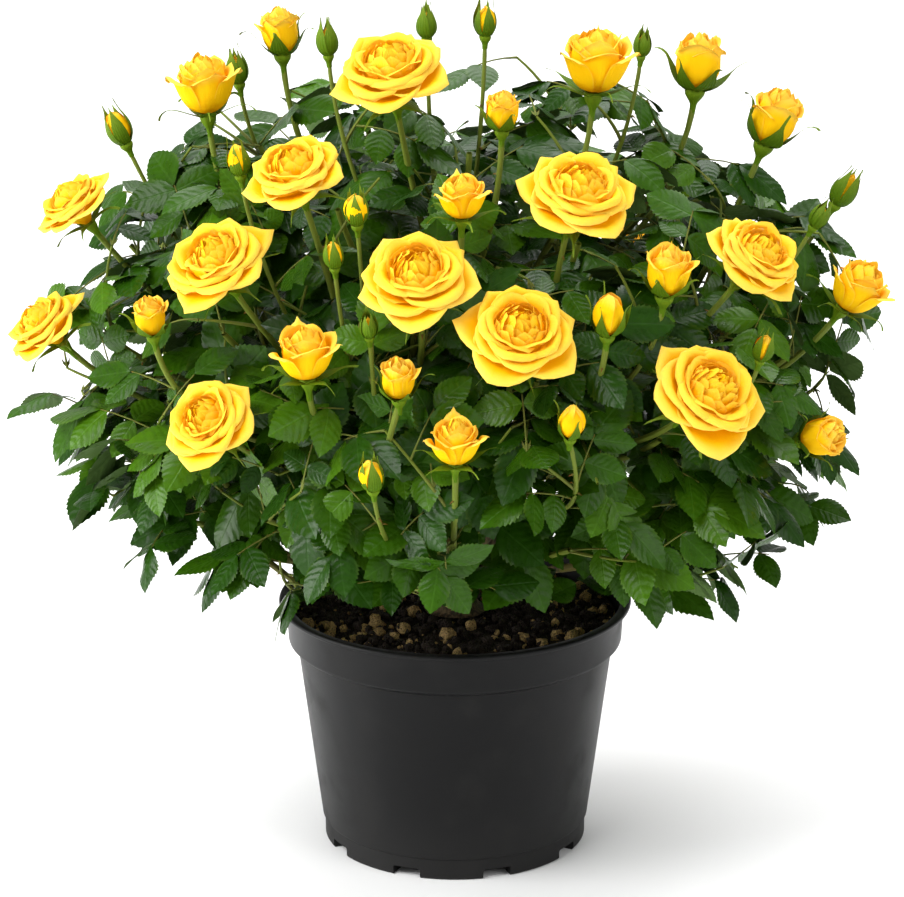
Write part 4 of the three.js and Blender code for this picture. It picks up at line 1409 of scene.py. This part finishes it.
HEARTS = {
    "open": (
        Whorl(11, 0.14, -0.24, 0.80, 0.58, 60, 24, -54, 10, 0.02, 0, 0.43),
        Whorl(12, 0.12, -0.22, 0.83, 0.48, 52, 16, -68, 0, 0.02, 0, 0.57),
        Whorl(11, 0.10, -0.20, 0.86, 0.40, 40, 6, -76, 0, 0.02, 0, 0.71),
        Whorl(8, 0.08, -0.19, 0.86, 0.32, 26, 0, -78, 0, 0.02, 0, 0.86),
        Whorl(6, 0.05, -0.19, 0.84, 0.24, 12, 0, -60, 0, 0.02, 0, 1.0),
    ),
    "half": (
        Whorl(8, 0.14, -0.66, 1.44, 0.66, 58, 0, -46, 0, 0.03, 0, 0.43),
        Whorl(8, 0.10, -0.60, 1.40, 0.52, 44, 0, -52, 0, 0.03, 0, 0.57),
        Whorl(6, 0.05, -0.54, 1.34, 0.40, 26, 0, -50, 0, 0.03, 0, 0.71),
    ),
    "barrel": (
        Whorl(7, 0.16, -0.92, 1.90, 0.84, 62, 0, -34, 30, 0.03, 0, 0.2),
        Whorl(7, 0.10, -0.88, 1.88, 0.64, 46, 0, -36, 10, 0.03, 0, 0.3),
        Whorl(6, 0.05, -0.84, 1.82, 0.46, 26, 0, -34, 0, 0.03, 0, 0.43),
    ),
    "pointed": (Whorl(4, 0.06, -0.70, 1.75, 0.5, 30, 0, -50, 0, 0.03, 0, 0.3),),
    "bud": (),
    "green": (),
}
# Sepals: foot radius, foot height, length, width, angles at foot, middle and tip, and how much they vary.
SEPALS = {
    "open": (0.12, -0.50, 0.86, 0.34, 60, 84, 96, 10),
    "half": (0.24, -0.86, 1.30, 0.48, 74, 70, 108, 16),
    "barrel": (0.28, -1.07, 1.90, 0.90, 80, 20, 84, 30),
    "pointed": (0.30, -1.08, 2.50, 0.86, 70, 4, 30, 16),
    "bud": (0.36, -1.10, 3.20, 1.08, 60, -11, -26, 5),
    "green": (0.36, -1.10, 3.30, 1.60, 60, -14, -30, 3),
}
# Hips: radius in half widths per stage, the neck that they swell from and the least that they do, how
# far they reach into the shoot and into the bloom, and the swelling at shares of their length.
HIPS = {"open": 0.15, "half": 0.24, "barrel": 0.38, "pointed": 0.42, "bud": 0.5, "green": 0.5}
HIP_NECK = 1.5
HIP_LEAST = 0.8
HIP_SUNK = 0.35
HIP_RAISED = 0.04
HIP_SWELL = ((0, 0.4, 0.72, 0.9, 1), (0, 0.12, 0.85, 1.0, 0.8))
HIP_STATIONS = 12
HIP_SIDES = 12
BLOOM_SEED = 21
# A sepal's width along its length, as shares of each: broad low down, then a thin tail. Those that
# still close over a bud stay broad for longer.
SPREAD_SEPAL = ((0, 0.12, 0.3, 0.5, 0.66, 1), (0.75, 1.0, 0.9, 0.45, 0.13, 0.04))
CLOSED_SEPAL = ((0, 0.12, 0.35, 0.55, 0.75, 0.88, 1), (0.75, 1.0, 1.0, 0.8, 0.34, 0.1, 0.03))


def bent_profile(foot, middle, rim):
    """Angles along bent profiles, and how far out and up each has come, per unit of length."""
    steps = np.linspace(0, 1, BEND_STEPS + 1)
    near, mid, far = (1 - steps) * (1 - 2 * steps), 4 * steps * (1 - steps), steps * (2 * steps - 1)
    bend = np.radians(foot * near + middle * mid + rim * far)
    run = []
    for slope in (np.sin(bend), np.cos(bend)):
        gained = np.cumsum((slope[:, 1:] + slope[:, :-1]) * 0.5 / BEND_STEPS, axis=1)
        run.append(np.concatenate((0 * gained[:, :1], gained), axis=1))
    return bend, run[0], run[1]


def sheet_points(rows, random, grid, sepal=None):
    """Petals or sepals about +Z. Each lies on the turned surface of its own bent profile, wrapped
    round the axis and cupped; a petal's rim curls back, least at the cusp in its middle."""
    across, stations = grid
    table = np.array(rows, float).T[:, :, None, None]
    turn, radius, height, long, wide, foot, middle, rim, roll, cusp, cup = table
    number = len(rows)
    u = np.linspace(-1, 1, across)[None, None]
    v = stations[None, :, None]
    if sepal:
        top, flat = np.ones((number, 1, across)), 1.0
    else:
        top, flat = 1 - 0.16 * u**2 + cusp * np.exp(-((u / 0.13) ** 2)), ROLL_FROM
    s = np.minimum(v, flat) * top
    bend, out, rise = bent_profile(foot[:, 0], middle[:, 0], rim[:, 0])
    place = np.clip(s, 0, 1) * BEND_STEPS
    low = np.minimum(place.astype(int), BEND_STEPS - 1)
    part = place - low
    each = np.arange(number)[:, None, None]

    def at(along):
        return along[each, low] * (1 - part) + along[each, low + 1] * part

    theta = at(bend)
    radius = radius + long * at(out)
    height = height + long * at(rise)
    phase = random.uniform(0, FULL_TURN, (number, 1, 1))
    swing = random.uniform(-1, 1, (number, 1, 1))
    if sepal:
        half_width = wide / 2 * np.interp(s, *sepal)
        ahead, push = 0 * s, 0.5 * np.maximum(s - 0.7, 0) ** 1.4 * long + 0.05 * u**2 * (1 - s)
    else:
        rounded = np.sqrt(1 - 0.45 * np.clip((v - 0.55) / 0.45, 0, 1) ** 2)
        half_width = wide / 2 * rounded * (0.32 + 0.68 * np.sin(np.pi / 2 * np.clip(s / 0.55, 0, 1)))
        curled = np.clip((v - flat) / (1 - flat), 0, 1)
        most = np.radians(np.maximum(roll, 2.0)) * (1 - np.minimum(9 * cusp, 0.5) * np.exp(-((u / 0.2) ** 2)))
        curl = (1 - flat) * top * long / most
        ahead, push = curl * np.sin(curled * most), curl * (1 - np.cos(curled * most))
        push = push - cup * u**2 * s
        push = push + 0.016 * np.sin(4 * u + phase) * s + 0.012 * np.sin(7 * u + 2 * phase) * s**2
    radius = radius + ahead * np.sin(theta) + push * np.cos(theta) + 0.035 * u * s
    height = height + ahead * np.cos(theta) - push * np.sin(theta) + 0.03 * swing * u * s
    angle = turn + np.clip(u * half_width / np.maximum(radius, 0.06), -2.0, 2.0)
    radius = np.maximum(radius, 0.005)
    points = np.stack((radius * np.cos(angle), radius * np.sin(angle), height * np.ones_like(angle)), -1)
    return points.reshape(number, -1, 3)


def petal_rows(whorls, random, start=None):
    """Rows of all petals of some whorls, and the map column of each."""
    rows, columns = [], []
    drawn = random.uniform(0, FULL_TURN)
    start = drawn if start is None else start
    for whorl in whorls:
        start += np.pi / whorl.number + 0.08
        for i in range(whorl.number):
            turn = start + 2 * np.pi * i / whorl.number + random.normal(0, 0.09)
            vary = random.normal(0, 1, 5)
            rows.append((
                turn, whorl.radius, whorl.height + 0.004 * i, whorl.length * (1 + 0.035 * vary[0]),
                whorl.width * (1 + 0.06 * vary[1]), whorl.foot, whorl.middle + 3 * vary[2],
                whorl.rim + 5 * vary[3], whorl.roll * random.uniform(0.7, 1.1),
                whorl.cusp * max(0.2, 1 + 0.4 * vary[4]), whorl.cup,
            ))
            columns.append(round(whorl.depth * (PETAL_COLUMNS - 1)))
    return rows, np.array(columns)


def sepal_rows(stage, random):
    foot_radius, foot_height, long, wide, foot, middle, tip, vary = SEPALS[stage]
    return [
        (
            2 * np.pi * i / 5 + random.normal(0, 0.08), foot_radius, foot_height,
            long * random.uniform(0.88, 1.12), wide, foot, middle + 0.4 * vary * abs(random.normal()),
            tip + vary * random.normal(), 0, 0, 0,
        )
        for i in range(5)
    ]


def bloom_turn(axis, spin):
    """Rotation matrix that takes +Z to the bloom's axis after a spin."""
    z = unit(axis)
    x = unit(np.cross(UP, z)) if abs(z[2]) < 0.999 else np.array((1.0, 0, 0))
    y = np.cross(z, x)
    c, s = math.cos(spin), math.sin(spin)
    return np.stack((x * c + y * s, y * c - x * s, z), axis=1)


def grid_places(grid):
    """Map places of a petal or sepal: U across it and V from foot to rim."""
    across, stations = grid
    u, v = np.linspace(0.03, 0.97, across), 0.01 + 0.98 * stations
    return np.stack((np.tile(u, len(v)), np.repeat(v, across)), axis=1)


def petal_places(columns, grid):
    places = np.repeat(grid_places(grid)[None], len(columns), axis=0)
    places[:, :, 0] = (places[:, :, 0] + columns[:, None]) / PETAL_COLUMNS
    return places


def sheet_faces(grid):
    return grid_faces(grid[0], len(grid[1]))[:, ::-1]


class ROSEBUSH_OT_blooms(bpy.types.Operator):
    """Make the petals, sepals and hips of every bloom and bud"""

    bl_idname = "rosebush.blooms"
    bl_label = "Blooms"

    def execute(self, context):
        settings = context.scene.rose_blooms
        random = np.random.default_rng(BLOOM_SEED)
        open_petals, closed_petals, sepals, hips = Gathered(), Gathered(), Gathered(), Gathered()
        for bloom in SHOWN_BLOOMS:
            turn = bloom_turn(bloom.axis, random.uniform(0, FULL_TURN))
            sight = sight_of(bloom)
            # The guard petals of a half open rose stand to both sides and behind.
            facing = math.atan2(sight @ turn[:, 1], sight @ turn[:, 0]) if bloom.stage == "half" else None

            def placed(rows, grid, sepal=None):
                points = sheet_points(rows, random, grid, sepal)
                return points * bloom.width / 2 @ turn.T + bloom.middle

            petals = open_petals if bloom.stage == "open" else closed_petals
            for whorls, grid in ((WHORLS[bloom.stage], LARGE), (HEARTS[bloom.stage], SMALL)):
                if whorls:
                    rows, columns = petal_rows(whorls, random, facing)
                    petals.add(placed(rows, grid), petal_places(columns, grid), sheet_faces(grid))
            outline = CLOSED_SEPAL if bloom.stage in ("bud", "green") else SPREAD_SEPAL
            leaf = placed(sepal_rows(bloom.stage, random), SLIM, outline)
            sepals.add(leaf, grid_places(SLIM)[None], sheet_faces(SLIM))
            self.add_hip(hips, bloom, SEPALS[bloom.stage][1], HIPS[bloom.stage])
        material = petal_material(settings)
        open_petals.to_piece("petals_of_open_roses", material, "leaves_and_roses")
        closed_petals.to_piece("petals_of_buds", material, "leaves_and_roses")
        pale = green_material("sepal_green", tuple(settings.sepal), (0.15, 0.23, 0.02))
        sepals.to_piece("sepals", pale, "leaves_and_roses")
        smooth = green_material("hip_green", tuple(1.1 * part for part in settings.sepal), (0.13, 0.22, 0.01))
        hips.to_piece("hips", smooth, "leaves_and_roses")
        return {"FINISHED"}

    def add_hip(self, hips, bloom, top, bulge):
        """The green swelling between a shoot's end and the sepals."""
        half = bloom.width / 2
        foot = (FOOT[bloom.stage] - HIP_SUNK) * half
        head = (top + HIP_RAISED) * half
        share = np.linspace(0, 1, HIP_STATIONS)
        path = bloom.middle + bloom.axis * lerp(foot, head, share)[:, None]
        radii = HIP_NECK + np.maximum(bulge * half - HIP_NECK, HIP_LEAST) * np.interp(share, *HIP_SWELL)
        add_tube(hips, path, radii, HIP_SIDES, (0, 1))


# ---------------------------------------------------------------- stage

# Name, place, point aimed at, size, and the setting that gives the power and the share of it.
LAMPS = (
    ("key", (-1.4, -1.7, 2.6), (0, 0, 0.1), 1.5, "key", 1.0),
    ("fill", (2.3, -1.6, 1.5), (0, 0, 0.1), 1.8, "fill", 1.0),
    ("side", (-2.2, -0.5, 0.6), (0, 0, 0.1), 1.2, "fill", 2.0),
    ("top", (0.3, 0.9, 2.8), (0, 0, 0.1), 2.4, "key", 0.7),
    ("far", (0.0, 3.4, 3.2), (0, 3.4, 0.1), 4.0, "key", 1.7),
)
FLOOR_SIZE = 60
SKY_SEEN = 1.05


class ROSEBUSH_OT_stage(bpy.types.Operator):
    """Make the pale floor, the studio lights and the camera"""

    bl_idname = "rosebush.stage"
    bl_label = "Floor, lights and camera"

    def execute(self, context):
        settings = context.scene.rose_stage
        clear_selection()
        bpy.ops.mesh.primitive_grid_add(x_subdivisions=2, y_subdivisions=2, size=FLOOR_SIZE)
        floor = context.object
        floor.name = "floor"
        white = (*settings.floor, 1)
        material, _tree, _shader = new_material("floor_white", 0.9, Base_Color=white, Specular_IOR_Level=0.1)
        floor.data.materials.append(material)
        for name, place, aimed_at, size, power, share in LAMPS:
            light = bpy.data.lights.new(name, "AREA")
            light.energy, light.size = getattr(settings, power) * share, size
            lamp = bpy.data.objects.new(name, light)
            lamp.location = place
            aim = Vector(aimed_at) - lamp.location
            lamp.rotation_euler = aim.to_track_quat("-Z", "Y").to_euler()
            context.scene.collection.objects.link(lamp)
        self.make_sky(context, settings)
        camera = bpy.data.objects.new("camera", bpy.data.cameras.new("camera"))
        camera.data.lens, camera.data.sensor_width = settings.lens, 36
        camera.location = CAMERA_PLACE
        camera.rotation_euler = (math.radians(90 - CAMERA_PITCH), 0, 0)
        camera.data.clip_end = 100
        context.scene.collection.objects.link(camera)
        context.scene.camera = camera
        context.scene.view_settings.view_transform = "Standard"
        return {"FINISHED"}

    def make_sky(self, context, settings):
        """White to the camera and an even light to everything else."""
        world = bpy.data.worlds.new("studio")
        world.use_nodes = True
        tree = world.node_tree
        sky = tree.nodes["Background"]
        sky.inputs["Color"].default_value = (1, 1, 1, 1)
        seen = add_node(tree, "ShaderNodeLightPath").outputs["Is Camera Ray"]
        strength = math_node(tree, "MULTIPLY_ADD", seen, SKY_SEEN - settings.sky, settings.sky)
        tree.links.new(strength, sky.inputs["Strength"])
        context.scene.world = world


OPERATORS = (
    ROSEBUSH_OT_pot,
    ROSEBUSH_OT_soil,
    ROSEBUSH_OT_wood,
    ROSEBUSH_OT_leaves,
    ROSEBUSH_OT_blooms,
    ROSEBUSH_OT_stage,
)


class ROSEBUSH_PT_panel(bpy.types.Panel):
    """Sizes and colours of the rose bush, and the steps that make it"""

    bl_idname = "ROSEBUSH_PT_panel"
    bl_label = "Rose Bush"
    bl_space_type = "VIEW_3D"
    bl_region_type = "UI"
    bl_category = "Rose Bush"

    def draw(self, context):
        for name, group in SETTINGS.items():
            box = self.layout.box()
            for setting in group.__annotations__:
                box.prop(getattr(context.scene, name), setting)
        for operator in OPERATORS:
            self.layout.operator(operator.bl_idname)


def register():
    for kind in (*SETTINGS.values(), *OPERATORS, ROSEBUSH_PT_panel):
        bpy.utils.register_class(kind)
    for name, group in SETTINGS.items():
        setattr(bpy.types.Scene, name, bpy.props.PointerProperty(type=group))


def unregister():
    for name in SETTINGS:
        delattr(bpy.types.Scene, name)
    for kind in (ROSEBUSH_PT_panel, *reversed(OPERATORS), *reversed(SETTINGS.values())):
        bpy.utils.unregister_class(kind)


def main():
    register()
    clear_selection()
    for operator in OPERATORS:
        space, name = operator.bl_idname.split(".")
        getattr(getattr(bpy.ops, space), name)()


if __name__ == "__main__":
    main()
